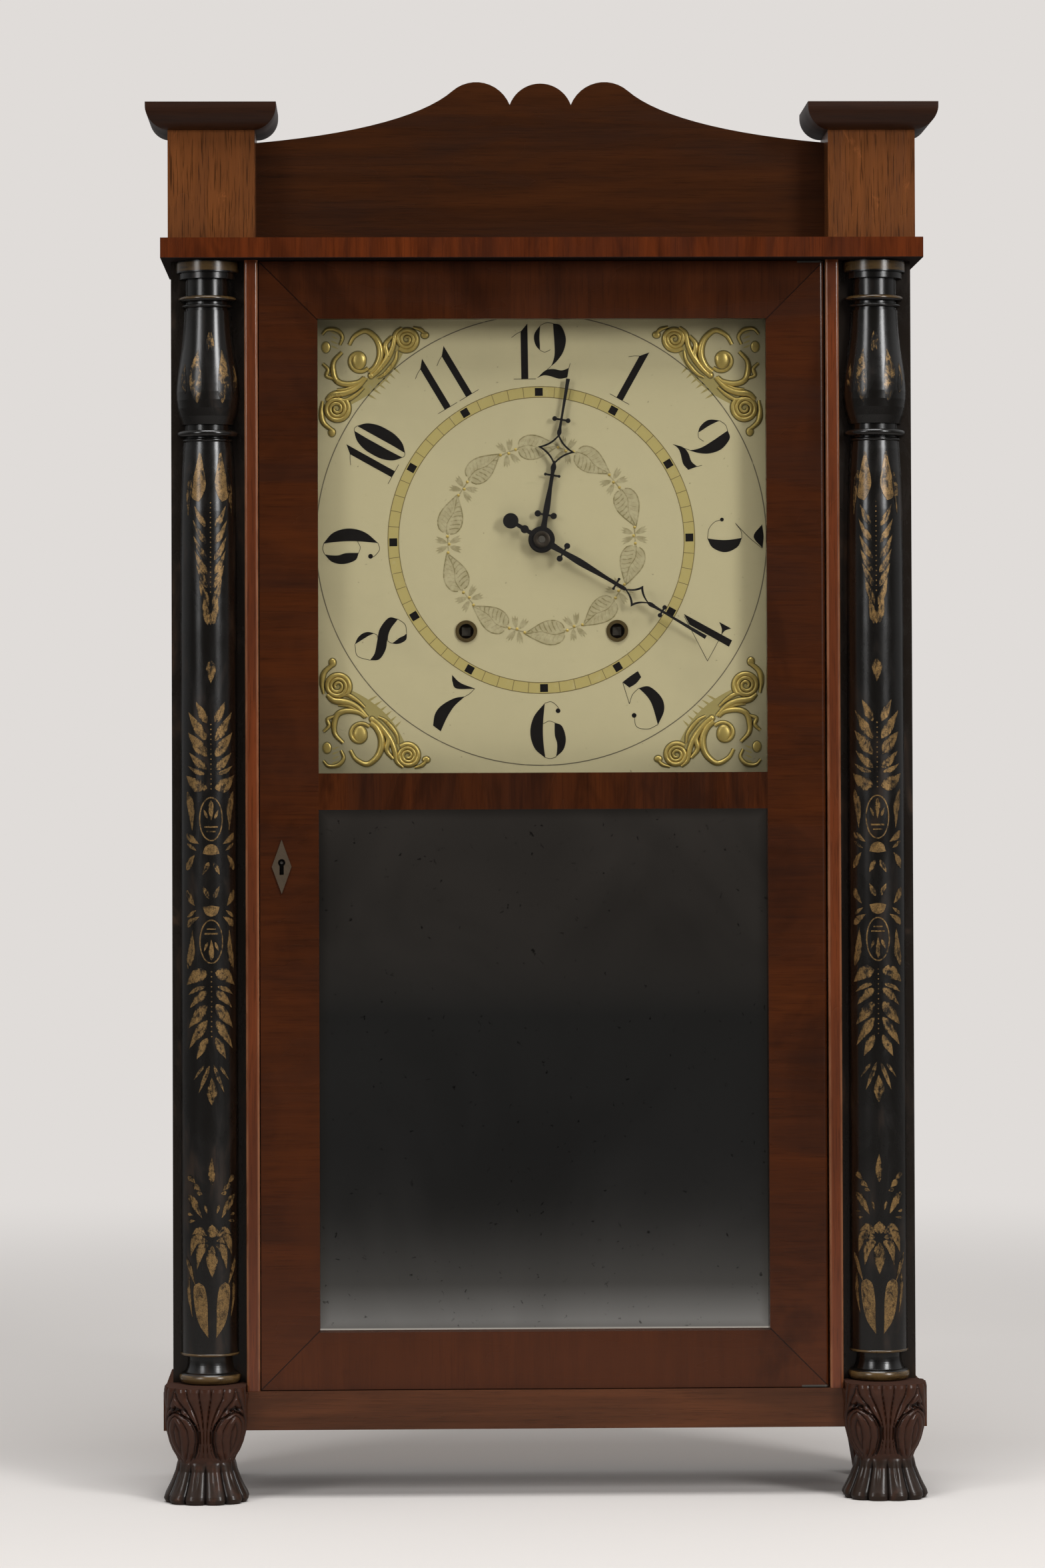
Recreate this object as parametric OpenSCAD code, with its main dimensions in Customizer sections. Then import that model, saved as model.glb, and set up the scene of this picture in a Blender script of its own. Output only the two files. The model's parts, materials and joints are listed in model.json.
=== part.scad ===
// Shelf clock with half columns, a scrolled splat, carved feet and a full-height door,
// driven by two weights through a movement with wooden plates and wheels.
// X points right, Y to the back and Z up. The origin is on the floor, under the middle
// of the clock's width and depth. All sizes are millimetres.

/* [Case] */
// Height of the feet under the base slab
foot_h = 43; // [36:1:60]
// Thickness of the base slab
base_h = 24; // [18:0.5:30]
// Thickness of the cornice board
cornice_h = 12.7; // [12:0.1:18]
// Depth from the column boards to the back of the case
case_d = 105; // [98:1:125]
// Width of the board behind each column
pilaster_w = 46.3; // [42:0.1:54]
// Thickness of the boards behind the columns
pilaster_t = 12; // [10:0.5:14]
// Thickness of the side boards
side_t = 14; // [10:0.5:16]
// Thickness of the back boards
back_t = 9; // [6:0.5:10]
// How far the base slab and the cornice stand out past the sides
slab_over = 5.5; // [3:0.5:12]
// How far the base slab stands out in front of the column boards
base_out = 13; // [12.5:0.5:18]
// How far the cornice stands out in front of the column boards
cornice_out = 26; // [22:0.5:30]
// Width of the strip on each side of the door
strip_w = 8.5; // [7:0.1:10]
// How far the strips stand out in front of the column boards
strip_out = 12; // [10:0.1:12.4]
// Radius of the strips' rounded edges
strip_r = 1.8; // [0.5:0.1:3]

/* [Feet] */
// Width of a carved front foot
foot_w = 54; // [48:1:60]
// Depth of a carved front foot
foot_d = 50; // [44:1:56]
// Height of the foot's top above the base slab
foot_cap = 4.5; // [2:0.5:7]
// Width of a rear foot
rear_foot_w = 34; // [26:1:40]

/* [Columns] */
// Radius of the column's shaft
shaft_r = 18; // [15:0.1:19]
// Height of the column's turned head, from shaft to cornice
head_h = 114; // [104:1:130]
// Height of the column's turned foot
base_turning_h = 22; // [18:0.5:28]

/* [Top] */
// Width of a chimney block
chimney_w = 54.5; // [48:0.5:62]
// Depth of a chimney block
chimney_d = 50.5; // [44:0.5:60]
// Height of a chimney block
chimney_h = 67.7; // [60:0.1:76]
// How far the chimneys stand out past the sides
chimney_over = 0.9; // [0:0.1:3]
// How far the chimneys stand out in front of the column boards
chimney_out = 21.5; // [18:0.5:22]
// Height of the cap on each chimney
cap_h = 16; // [14:0.5:20]
// Height of the straight edge at the top of a cap
cap_edge = 2.5; // [1.5:0.5:5]
// Height of the splat's outer lobes above the cornice
splat_h = 101.4; // [92:0.1:108]
// Height of the splat where it meets the chimneys
splat_end_h = 63; // [54:0.5:66]
// Radius of the splat's outer lobes
lobe_r = 22.8; // [20:0.1:25]
// Distance of the outer lobes from the middle
lobe_x = 40.5; // [37:0.5:44]
// Thickness of the splat
splat_t = 9; // [6:0.5:12]
// Distance of the splat's face behind the chimneys' faces
splat_back = 26; // [16:0.5:36]

/* [Door] */
// Thickness of the door's frame
door_t = 17; // [14:0.5:18]
// How far the door stands out in front of the column boards
door_out = 10; // [8:0.5:12]
// Width of the door's stiles
stile_w = 36.8; // [32:0.1:42]
// Width of the door's two openings
open_w = 281.6; // [274:0.1:290]
// Height of the door's top rail
top_rail_h = 36.1; // [30:0.1:42]
// Height of the opening before the dial
dial_open_h = 285; // [280:1:292]
// Height of the door's middle rail
mid_rail_h = 22.9; // [20:0.1:30]
// Height of the opening for the mirror
mirror_open_h = 326.5; // [310:0.5:340]
// Height of the door's bottom rail
bottom_rail_h = 35.5; // [30:0.1:42]
// Gap round the door
door_gap = 0.6; // [0.5:0.1:1]
// Thickness of the dial's glass and of the mirror
glass_t = 2; // [1.5:0.1:3]
// Width of the rabbet that holds the glass
rabbet_w = 5; // [3:0.5:8]
// Thickness of the door's front lip, before the glass
lip_t = 7; // [5:0.5:9]
// Thickness of the board behind the mirror
mirror_board_t = 4; // [3:0.5:6]
// Radius of the pins on which the door swings
hinge_pin_r = 1.2; // [1:0.1:1.6]
// How far the keyhole sits below the door's middle rail
keyhole_drop = 35.5; // [28:0.5:120]

/* [Dial and hands] */
// Thickness of the dial board
dial_t = 8; // [6:0.5:9]
// Height of the hands' centre above the middle of the dial opening
dial_rise = 4.5; // [0:0.5:8]
// Distance of each winding hole from the middle line
winding_x = 47.7; // [46:0.1:50]
// Distance of the winding holes below the hands' centre
winding_drop = 57.6; // [55:0.1:60]
// Length of the hour hand
hour_len = 103; // [90:1:115]
// Length of the minute hand
minute_len = 120.5; // [112:0.5:126]
// Thickness of the hands
hand_t = 1.2; // [0.8:0.1:1.6]

/* [Movement] */
// Thickness of the movement's wooden plates
plate_t = 7; // [6:0.5:8]
// Space between the plates
plate_gap = 40; // [40:0.5:42]
// Distance from the column boards' faces to the front plate
plate_depth = 37.5; // [37:0.5:40]
// Width of the plates
plate_w = 200; // [192:1:210]
// Height of the plates
plate_h = 236; // [232:1:250]
// Radius of the cord drums
drum_r = 11.2; // [9:0.1:13]
// Radius of the winding arbors
winding_r = 4; // [3.5:0.1:4.5]
// Radius of the iron pivots
pivot_r = 1.5; // [1.2:0.1:1.8]
// Length of the pendulum from its stud to the middle of the bob
pendulum_len = 290; // [270:1:310]
// Radius of the pendulum bob
bob_r = 24; // [18:0.5:26]
// Radius of the bell
bell_r = 36; // [30:0.5:38]

/* [Weights] */
// Radius of the cast weights
weight_r = 21; // [18:0.5:23]
// Height of the cast weights
weight_h = 138; // [110:1:150]
// Distance of the weights from the case sides
weight_gap = 8; // [6.5:0.5:10]
// Radius of the cords
cord_r = 1.25; // [1:0.05:1.5]
// Radius of the pulleys
pulley_r = 13.2; // [12:0.1:14]

/* [Hidden] */
$fn = 64;

// Colours
veneer = [0.30, 0.11, 0.06];
dark_veneer = [0.22, 0.08, 0.05];
black_paint = [0.05, 0.05, 0.05];
carved_wood = [0.16, 0.10, 0.08];
plain_wood = [0.55, 0.40, 0.24];
wheel_wood = [0.62, 0.38, 0.20];
dial_paint = [0.72, 0.69, 0.54];
brass = [0.70, 0.56, 0.30];
iron = [0.20, 0.20, 0.21];
cord_colour = [0.70, 0.62, 0.46];

// Clearances
run = 0.05;     // round a pivot or a shaft that turns in its hole
clear = 0.3;    // between pieces that pass each other
seat = 0.3;     // between a soft or curved piece and what carries it

// Widths of the case, from the door outwards
door_w = open_w + 2 * stile_w;
strip_x = door_w / 2 + door_gap;
pilaster_x = strip_x + strip_w;
case_w = 2 * (pilaster_x + pilaster_w);
slab_w = case_w + 2 * slab_over;
col_x = pilaster_x + pilaster_w / 2;

// Heights, from the floor upwards
base_top = foot_h + base_h;
door_z = base_top + door_gap;
mirror_z = door_z + bottom_rail_h;
mid_rail_z = mirror_z + mirror_open_h;
dial_open_z = mid_rail_z + mid_rail_h;
top_rail_z = dial_open_z + dial_open_h;
door_top = top_rail_z + top_rail_h;
cornice_z = door_top + door_gap;
cornice_top = cornice_z + cornice_h;
dial_z = dial_open_z + dial_open_h / 2 + dial_rise;
winding_z = dial_z - winding_drop;

// Outline of a front foot: height above the floor, and share of its half width
foot_shape = [[0, 0.95], [2.5, 1], [5, 0.97], [9, 0.885], [14, 0.78], [20, 0.71], [26, 0.675],
    [29, 0.71], [33, 0.82], [38, 0.905], [45, 0.945], [52, 0.965], [58, 0.915], [61, 0.93],
    [67, 1], [72, 0.985], [76, 0.95]];
foot_full_h = base_top + foot_cap;
foot_scale_z = foot_full_h / 74.5;
foot_rings = 22;
foot_sides = 48;

// Strength of the carving at a height: four toes below the neck, two leaves above it
function toes(z) = z < 26 ? 0.10 * sin(180 * min(1, (26 - z) / 30 + 0.13)) : 0;
function leaf(z) = z > 27 ? 0.07 * sin(180 * min(1, (z - 27) / 34)) : 0;
function flute(z) = z > 52 ? 0.03 * min(1, (z - 52) / 8) : 0;
function foot_carving(a, z) = 1 - toes(z) * (1 + cos(8 * a)) / 2
    - leaf(z) * (1 + cos(4 * a)) / 2 * (z > 27 ? 1 : 0) - flute(z) * (1 + cos(16 * a)) / 2;
function foot_plan(a) = pow(pow(abs(cos(a)), 2.5) + pow(abs(sin(a)), 2.5), -1 / 2.5);
function foot_point(a, z) = let (h = z / foot_scale_z,
    s = lookup(h, foot_shape) * foot_plan(a) * foot_carving(a, h))
    [s * foot_w / 2 * cos(a), s * foot_d / 2 * sin(a), z];
foot_points = [for (i = [0:foot_rings - 1], j = [0:foot_sides - 1])
    foot_point(j * 360 / foot_sides, foot_full_h * i / (foot_rings - 1))];
foot_reach = -min([for (p = foot_points) p[1]]);
foot_half = max([for (p = foot_points) p[0]]);
foot_x = slab_w / 2 - foot_half;

// Depths, from the front to the back. The foot's middle is in the base slab's front plane.
foot_out = base_out + foot_reach;
back_y = (case_d + foot_out) / 2;
front_y = back_y - case_d;
pilaster_back = front_y + pilaster_t;
inner_back = back_y - back_t;
base_front = front_y - base_out;
cornice_front = front_y - cornice_out;
door_front = front_y - door_out;
door_back = door_front + door_t;
glass_front = door_front + lip_t;
dial_front = pilaster_back;
dial_back = dial_front + dial_t;
plate_y = front_y + plate_depth;
plate_in = plate_y + plate_t;
plate2_y = plate_in + plate_gap;
plate2_out = plate2_y + plate_t;

// Door pins: near the front corner of the right stile, whose edge is rounded about them
hinge_inset = 2.7;
hinge_x = door_w / 2 - hinge_inset;
hinge_y = door_front + hinge_inset;
hinge_pin_l = 6;
hinge_plate = [17, 8, 1.2];

// Lock on the back of the left stile
keyhole_z = mid_rail_z - keyhole_drop;
keyhole_x = -(door_w / 2 - 13.5);
lock_w = 26;
lock_hh = 44;
lock_d = 9;
bolt_h = 12;
bolt_t = 3;
bolt_l = 16;
bolt_throw = 4.5;
bolt_y = door_back + 1.4;
escutcheon_w = 12.3;
escutcheon_h = 34;
escutcheon_t = 1;

// Plates and the places of the arbors
plate_under = 123;
plate_z = dial_z - plate_under;
great_n = 72;
centre_pinion_n = 12;
great_distance = norm([winding_x, winding_drop]);
great_m = 2 * great_distance / (great_n + centre_pinion_n);
centre_n = 72;
centre_m = 1.1;
third_pinion_n = 8;
third_distance = centre_m * (centre_n + third_pinion_n) / 2;
third_n = 72;
third_m = 0.9;
escape_pinion_n = 8;
escape_distance = third_m * (third_n + escape_pinion_n) / 2;
pendulum_x = 30;
escape_n = 42;
escape_r = 24;
verge_rise = 32;

// The verge's stud stays just below the plates' top, as far as the wheels between it and the
// hands reach. The third wheel stands where it meshes with both its neighbours.
verge_over = 10.6;
train_reach = 0.98 * (third_distance + escape_distance);
escape_x = pendulum_x;
escape_rise = min(plate_h - plate_under - verge_over - verge_rise,
    sqrt(pow(train_reach, 2) - pow(escape_x, 2)));
escape_z = dial_z + escape_rise;
verge_z = escape_z + verge_rise;
train_span = norm([escape_x, escape_rise]);
third_along = (pow(third_distance, 2) - pow(escape_distance, 2) + pow(train_span, 2)) / (2 * train_span);
third_off = sqrt(pow(third_distance, 2) - pow(third_along, 2));
third_x = (escape_x * third_along - escape_rise * third_off) / train_span;
third_z = dial_z + (escape_rise * third_along + escape_x * third_off) / train_span;
bob_z = verge_z - pendulum_len;

// Motion work, in front of the front plate
minute_wheel_z = dial_z - 24;
cannon_n = 12;
minute_wheel_n = 36;
motion_m = 1;
minute_pinion_n = 12;
hour_wheel_n = 48;
hour_m = 0.8;
centre_arbor_r = 2.2;
minute_pipe_r = 3.4;
hour_pipe_r = 5.2;
hour_hand_y = dial_front - 3.2;
minute_hand_y = hour_hand_y - 3;

// Striking train, on the left
strike_n = 72;
strike_m = 0.9;
pin_pinion_n = 8;
pin_distance = strike_m * (strike_n + pin_pinion_n) / 2;
pin_x = -winding_x - 2.3;
pin_z = winding_z + sqrt(pin_distance * pin_distance - 2.3 * 2.3);
pin_n = 60;
pin_m = 0.7;
pin_count = 8;
pin_circle = 17.5;
fly_pinion_n = 8;
fly_z = pin_z + pin_m * (pin_n + fly_pinion_n) / 2;
fly_r = 15;
count_n = 78;
count_pinion_n = 8;
count_m = 0.9;
count_dir = 130;
count_distance = count_m * (count_n + count_pinion_n) / 2;
count_x = pin_x + count_distance * cos(count_dir);
count_z = pin_z + count_distance * sin(count_dir);
count_y0 = plate_y - 5;
count_y1 = plate_y - 2;

// Hammer and bell
hammer_out = 34.5;
hammer_fall = 10;
hammer_x = pin_x - hammer_out;
hammer_z = pin_z - hammer_fall;
bell_x = -60;
bell_drop = 173;
bell_z = dial_z - bell_drop;
bell_mouth_y = inner_back - 14;
bell_depth = 26;
bell_wall = 2.2;
hammer_y = bell_mouth_y - 3.5;
hammer_head_r = 5.5;
hammer_head_a = 155;
hammer_gap = 0.4;

// Cords, pulleys and weights
cord_y = plate_in + 11;
weight_x = case_w / 2 - side_t - weight_gap - weight_r;
pulley_groove_r = pulley_r - 2.5;
wrap_r = pulley_groove_r + seat + cord_r;
pulley_x = weight_x - wrap_r;
pulley_z = cornice_z + cornice_h / 2;
pulley_w = 6;
pulley_pin_l = 22;
drum_wrap_r = drum_r + seat + cord_r;
cord_span = norm([pulley_x - winding_x, pulley_z - winding_z]);
cord_angle = atan2(pulley_z - winding_z, pulley_x - winding_x)
    + asin((wrap_r + drum_wrap_r) / cord_span);
cord_run_l = sqrt(pow(cord_span, 2) - pow(wrap_r + drum_wrap_r, 2));
weight_z = base_top + 2;
weight_hook_h = 9;
drop_bottom = weight_z + weight_h + weight_hook_h;
drop_top = pulley_z;

// Joins two sides: draws the right-hand one, or its mirror image for the left
module sided(side) {
    if (side < 0) mirror([1, 0, 0]) children();
    else children();
}

// Block between two corners
module block(x0, x1, y0, y1, z0, z1) {
    translate([x0, y0, z0]) cube([x1 - x0, y1 - y0, z1 - z0]);
}

// Flat outline in the X-Z plane, given thickness from y0 back to y1
module plate_xz(x, z, y0, y1, turn = 0) {
    translate([x, y1, z]) rotate([90, 0, 0]) linear_extrude(y1 - y0) rotate(turn) children();
}

// Round rod along Y
module rod_y(x, z, r, y0, y1) {
    translate([x, y0, z]) rotate([-90, 0, 0]) cylinder(r = r, h = y1 - y0);
}

function polar(r, a) = [r * cos(a), r * sin(a)];

// Outline of a toothed wheel: straight flanks below the pitch circle and tapered tips
function gear_points(n, m, share) = let (r = n * m / 2, pitch = 360 / n)
    [for (i = [0:n - 1], q = [[-1.35, -1], [0.15, -1], [0.95, -0.3], [0.95, 0.3], [0.15, 1], [-1.35, 1]])
        polar(r + q[0] * m, (i + q[1] * share / 2) * pitch)];

// Turn that puts wheel b in mesh with wheel a, for the direction d from a to b
function mesh_turn(d, turn_a, n_a, n_b) = d + 180 - (360 / n_b) * (0.5 - (d - turn_a) * n_a / 360);

wheel_share = 0.42;
pinion_share = 0.36;

// Turns of the wheels at rest
centre_turn = 0;
centre_pinion_turn = 0;
great_dir = atan2(-winding_drop, winding_x);
great_turn = mesh_turn(great_dir, centre_pinion_turn, centre_pinion_n, great_n);
third_dir = atan2(third_z - dial_z, third_x);
third_pinion_turn = mesh_turn(third_dir, centre_turn, centre_n, third_pinion_n);
third_turn = 0;
escape_dir = atan2(escape_z - third_z, escape_x - third_x);
escape_pinion_turn = mesh_turn(escape_dir, third_turn, third_n, escape_pinion_n);
minute_wheel_turn = mesh_turn(-90, 0, cannon_n, minute_wheel_n);
hour_wheel_turn = mesh_turn(90, 0, minute_pinion_n, hour_wheel_n);
pin_dir = atan2(pin_z - winding_z, pin_x + winding_x);
pin_pinion_turn = mesh_turn(pin_dir, 0, strike_n, pin_pinion_n);
fly_pinion_turn = mesh_turn(90, 0, pin_n, fly_pinion_n);
count_turn = mesh_turn(count_dir, 0, count_pinion_n, count_n);

module wheel_2d(n, m) { polygon(gear_points(n, m, wheel_share)); }
module pinion_2d(n, m) { polygon(gear_points(n, m, pinion_share)); }

// Case

module base_slab() {
    color(veneer) difference() {
        block(-slab_w / 2, slab_w / 2, base_front, back_y, foot_h, base_top);
        translate([hinge_x, hinge_y, base_top - hinge_pin_l - 1])
            cylinder(r = hinge_pin_r + run, h = hinge_pin_l + 2);
    }
}

module side_board(side) {
    color(plain_wood) sided(side)
        block(case_w / 2 - side_t, case_w / 2, pilaster_back, back_y, base_top, cornice_z);
}

module back_boards() {
    color(plain_wood) for (side = [-1, 1]) sided(side) difference() {
        block(0.3, case_w / 2 - side_t, inner_back, back_y, base_top, cornice_z);
        // Bevel along the joint between the two boards
        translate([0, back_y + 1, base_top - 1]) rotate([0, 0, -45]) cube([3, 3, cornice_z]);
    }
}

module pilasters() {
    color(black_paint) difference() {
        for (side = [-1, 1]) sided(side)
            block(strip_x, case_w / 2, front_y, pilaster_back, base_top, cornice_z);
        // Mortise for the lock's bolt
        block(-strip_x - bolt_throw - 1, -strip_x + 1, bolt_y - clear, bolt_y + bolt_t + clear,
            keyhole_z - bolt_h / 2 - clear, keyhole_z + bolt_h / 2 + clear);
    }
}

// Strip beside the door, with two rounded front edges
module door_strip(side) {
    color(veneer) sided(side) translate([strip_x, 0, base_top])
        linear_extrude(cornice_z - base_top) {
            translate([0, front_y - strip_out + strip_r]) square([strip_w, strip_out - strip_r]);
            translate([strip_r, front_y - strip_out]) square([strip_w - 2 * strip_r, strip_out]);
            for (x = [strip_r, strip_w - strip_r])
                translate([x, front_y - strip_out + strip_r]) circle(strip_r);
        }
}

// Parts of a column's outline: a plain drum, a rounded ring and a curved stretch
module drum(z0, z1, r) { translate([0, z0]) square([r, z1 - z0]); }
module ring(z, h, r) {
    translate([0, z - h / 2]) square([r - h / 2, h]);
    translate([r - h / 2, z]) circle(h / 2);
}
module curve(points) {
    polygon(concat([[0, points[0][1]]], points, [[0, points[len(points) - 1][1]]]));
}

column_z = base_top + foot_cap;
column_l = cornice_z - column_z;
head_z = column_l - head_h;
vase_z = head_z + 11;
vase_top = column_l - 31.5;
vase_steps = 14;
shaft_steps = 12;
shaft_flare = 2.5;
flare_l = 30;
vase_belly = 4;
vase_waist = shaft_r - 3.1;
function vase_radius(t) = vase_waist + 1.5 * (1 - t) + vase_belly * sin(180 * pow(1 - t, 2));
function shaft_radius(z) = shaft_r - shaft_flare * exp(-(head_z - z) / flare_l);

// Turned profile, with heights from the column's foot
module column_outline() {
    // Foot: base ring, flare, neck and lower ring
    ring(3.6, 7.2, shaft_r + 1.4);
    curve([for (t = [0:0.125:1]) [shaft_r - 0.3 - 3.6 * sin(90 * t), 3.6 + 11 * t]]);
    drum(14, 18, shaft_r - 3.9);
    ring(18.6, 1.8, shaft_r + 0.6);
    // Shaft, drawn in just under the head
    curve([for (i = [0:shaft_steps]) let (t = i / shaft_steps,
        z = base_turning_h - 3 + (head_z - base_turning_h + 3) * sin(90 * t)) [shaft_radius(z), z]]);
    // Rings between shaft and vase
    ring(head_z + 1.2, 2.4, shaft_r - 2);
    ring(head_z + 5.3, 4, shaft_r + 1.4);
    drum(head_z, vase_z, shaft_r - 3.6);
    // Vase
    curve([for (i = [0:vase_steps]) let (t = i / vase_steps)
        [vase_radius(t), vase_z + (vase_top - vase_z) * t]]);
    // Head: two rings, neck, step and drum
    ring(column_l - 28.5, 2, shaft_r - 1.5);
    ring(column_l - 24, 3.2, shaft_r + 0.4);
    drum(vase_top, column_l, shaft_r - 4);
    drum(column_l - 11.5, column_l, shaft_r - 0.3);
    drum(column_l - 7.6, column_l, shaft_r + 1.7);
}

module column(side) {
    color(black_paint) sided(side) translate([col_x, front_y, column_z])
        rotate([0, 0, 180]) rotate_extrude(angle = 180) column_outline();
}

// Carved foot: a leaf-wrapped block above a neck and a paw with four toes
foot_faces = concat(
    [[for (j = [0:foot_sides - 1]) j]],
    [[for (j = [foot_sides - 1:-1:0]) (foot_rings - 1) * foot_sides + j]],
    [for (i = [0:foot_rings - 2], j = [0:foot_sides - 1], k = [0, 1])
        let (a = i * foot_sides + j, b = i * foot_sides + (j + 1) % foot_sides,
            c = a + foot_sides, d = b + foot_sides) k == 0 ? [a, c, b] : [b, c, d]]);

module foot_front(side) {
    color(carved_wood) sided(side) difference() {
        translate([foot_x, base_front, 0]) polyhedron(foot_points, foot_faces);
        // Seat against the base slab
        block(foot_x - foot_w, foot_x + foot_w, base_front, back_y, foot_h, base_top);
        block(foot_x - foot_w, foot_x + foot_w, front_y, back_y, base_top - 1, base_top + 99);
        // Room for the door strip
        block(foot_x - foot_w, pilaster_x + clear, base_front, back_y, base_top - 1, base_top + 99);
    }
}

module rear_feet() {
    color(carved_wood) for (side = [-1, 1]) sided(side)
        translate([case_w / 2 - rear_foot_w / 2, back_y - rear_foot_w / 2, 0]) intersection() {
            rotate([90, 0, 0]) linear_extrude(rear_foot_w, center = true) rear_foot_face();
            rotate([90, 0, 90]) linear_extrude(rear_foot_w, center = true) rear_foot_face();
        }
}

// Face of a rear foot: a plain block that tapers to the floor
module rear_foot_face() {
    taper = 4;
    polygon([[-rear_foot_w / 2 + taper, 0], [rear_foot_w / 2 - taper, 0],
        [rear_foot_w / 2, foot_h * 0.6], [rear_foot_w / 2, foot_h], [-rear_foot_w / 2, foot_h],
        [-rear_foot_w / 2, foot_h * 0.6]]);
}

pulley_slot_in = pulley_x - (wrap_r + cord_r + 1) / sin(cord_angle)
    - (cornice_h / 2) / tan(cord_angle);
pulley_slot_out = weight_x + cord_r + 1;

module cornice_board() {
    color(veneer) difference() {
        block(-slab_w / 2, slab_w / 2, cornice_front, back_y, cornice_z, cornice_top);
        translate([hinge_x, hinge_y, cornice_z - 1])
            cylinder(r = hinge_pin_r + run, h = hinge_pin_l + 2);
        for (side = [-1, 1]) sided(side) {
            block(pulley_slot_in, pulley_slot_out, cord_y - pulley_w / 2 - 0.8,
                cord_y + pulley_w / 2 + 0.8, cornice_z - 1, cornice_top + 1);
            rod_y(pulley_x, pulley_z, pivot_r + run, cord_y - pulley_pin_l / 2 - 0.2,
                cord_y + pulley_pin_l / 2 + 0.2);
        }
    }
}

chimney_x = case_w / 2 + chimney_over - chimney_w / 2;
chimney_front = front_y - chimney_out;

module chimney(side) {
    color(veneer) sided(side) block(chimney_x - chimney_w / 2, chimney_x + chimney_w / 2,
        chimney_front, chimney_front + chimney_d, cornice_top, cornice_top + chimney_h);
}

// Cap with a quarter-round under a straight edge, mitred round the front and both sides
cap_over = cap_h - cap_edge;
module cap(side) {
    color(dark_veneer) sided(side) translate([chimney_x, chimney_front, cornice_top + chimney_h])
        intersection() {
            translate([0, chimney_d, 0]) rotate([90, 0, 0])
                linear_extrude(chimney_d + cap_over + 1) {
                    cap_profile(chimney_w / 2);
                    mirror([1, 0]) cap_profile(chimney_w / 2);
                }
            rotate([90, 0, -90]) linear_extrude(chimney_w + 2 * cap_over + 2, center = true)
                translate([-chimney_d, 0]) cap_profile(chimney_d);
        }
}

module cap_profile(w) {
    square([w, cap_h]);
    translate([w, cap_over]) intersection() {
        circle(cap_over);
        translate([0, -cap_over]) square([cap_over, cap_over]);
    }
    translate([0, cap_h - cap_edge]) square([w + cap_over, cap_edge]);
}

// Splat: a middle lobe between two outer lobes, then a long falling curve to each chimney
splat_x = chimney_x - chimney_w / 2;
cusp_x = 19.3;
cusp_z = splat_h - lobe_r + sqrt(pow(lobe_r, 2) - pow(lobe_x - cusp_x, 2));
centre_lobe_h = 13.5;
centre_lobe_r = (cusp_x * cusp_x + centre_lobe_h * centre_lobe_h) / (2 * centre_lobe_h);
lobe_end_a = 49;
lobe_end = [lobe_x, splat_h - lobe_r] + polar(lobe_r, lobe_end_a);
fall_start = 22;
fall_end = [68, 6];
fall_1 = lobe_end + polar(fall_start, lobe_end_a - 90);
fall_2 = [splat_x - fall_end[0], splat_end_h + fall_end[1]];
splat_end = [splat_x, splat_end_h];
function bezier(a, b, c, d, t) = pow(1 - t, 3) * a + 3 * pow(1 - t, 2) * t * b
    + 3 * (1 - t) * t * t * c + pow(t, 3) * d;

centre_a = asin(cusp_x / centre_lobe_r);
lobe_start_a = 180 - acos((lobe_x - cusp_x) / lobe_r);
splat_half = concat(
    [for (i = [0:10]) [0, cusp_z + centre_lobe_h - centre_lobe_r]
        + polar(centre_lobe_r, 90 - centre_a * i / 10)],
    [for (i = [1:12]) [lobe_x, splat_h - lobe_r]
        + polar(lobe_r, lobe_start_a + (lobe_end_a - lobe_start_a) * i / 12)],
    [for (i = [1:14]) bezier(lobe_end, fall_1, fall_2, splat_end, i / 14)],
    [[splat_x, 0]]);
module splat() {
    color(dark_veneer) translate([0, chimney_front + splat_back + splat_t, cornice_top])
        rotate([90, 0, 0]) linear_extrude(splat_t)
            polygon(concat(splat_half,
                [for (i = [len(splat_half) - 1:-1:1]) [-splat_half[i][0], splat_half[i][1]]]));
}

// Dial

dial_half_w = strip_x + 10;
dial_bottom = dial_open_z - 16;
dial_top = cornice_z - 5;
winding_hole_r = 5.9;
ring_out_r = 6.9;
ring_t = 1;

module dial_board() {
    color(dial_paint) difference() {
        block(-dial_half_w, dial_half_w, dial_front, dial_back, dial_bottom, dial_top);
        rod_y(0, dial_z, hour_pipe_r + 1.3, dial_front - 1, dial_back + 1);
        for (side = [-1, 1])
            rod_y(side * winding_x, winding_z, winding_hole_r, dial_front - 1, dial_back + 1);
    }
}

module winding_rings() {
    color(brass) for (side = [-1, 1]) difference() {
        union() {
            rod_y(side * winding_x, winding_z, ring_out_r, dial_front - ring_t, dial_front);
            rod_y(side * winding_x, winding_z, winding_hole_r - 0.02, dial_front, dial_back - 2);
        }
        rod_y(side * winding_x, winding_z, winding_r + 0.7, dial_front - 9, dial_back + 9);
    }
}

// Movement frame

rail_w = 14;
rail_h = plate_h + 40;
module movement_rails() {
    color(plain_wood) for (side = [-1, 1]) sided(side)
        block(plate_w / 2 - 22 - rail_w, plate_w / 2 - 22, plate2_out, inner_back,
            plate_z - 20, plate_z - 20 + rail_h);
}

pillar_r = 6;
pillar_in = 7;
pillar_x = plate_w / 2 - pillar_in;
pillars = [[-60, plate_z + pillar_in], [pillar_x, plate_z + pillar_in],
    [-pillar_x, plate_z + plate_h - pillar_in], [pillar_x, plate_z + plate_h - pillar_in]];
pillar_pin_r = 4;
minute_stud_l = 9.2;

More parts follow.
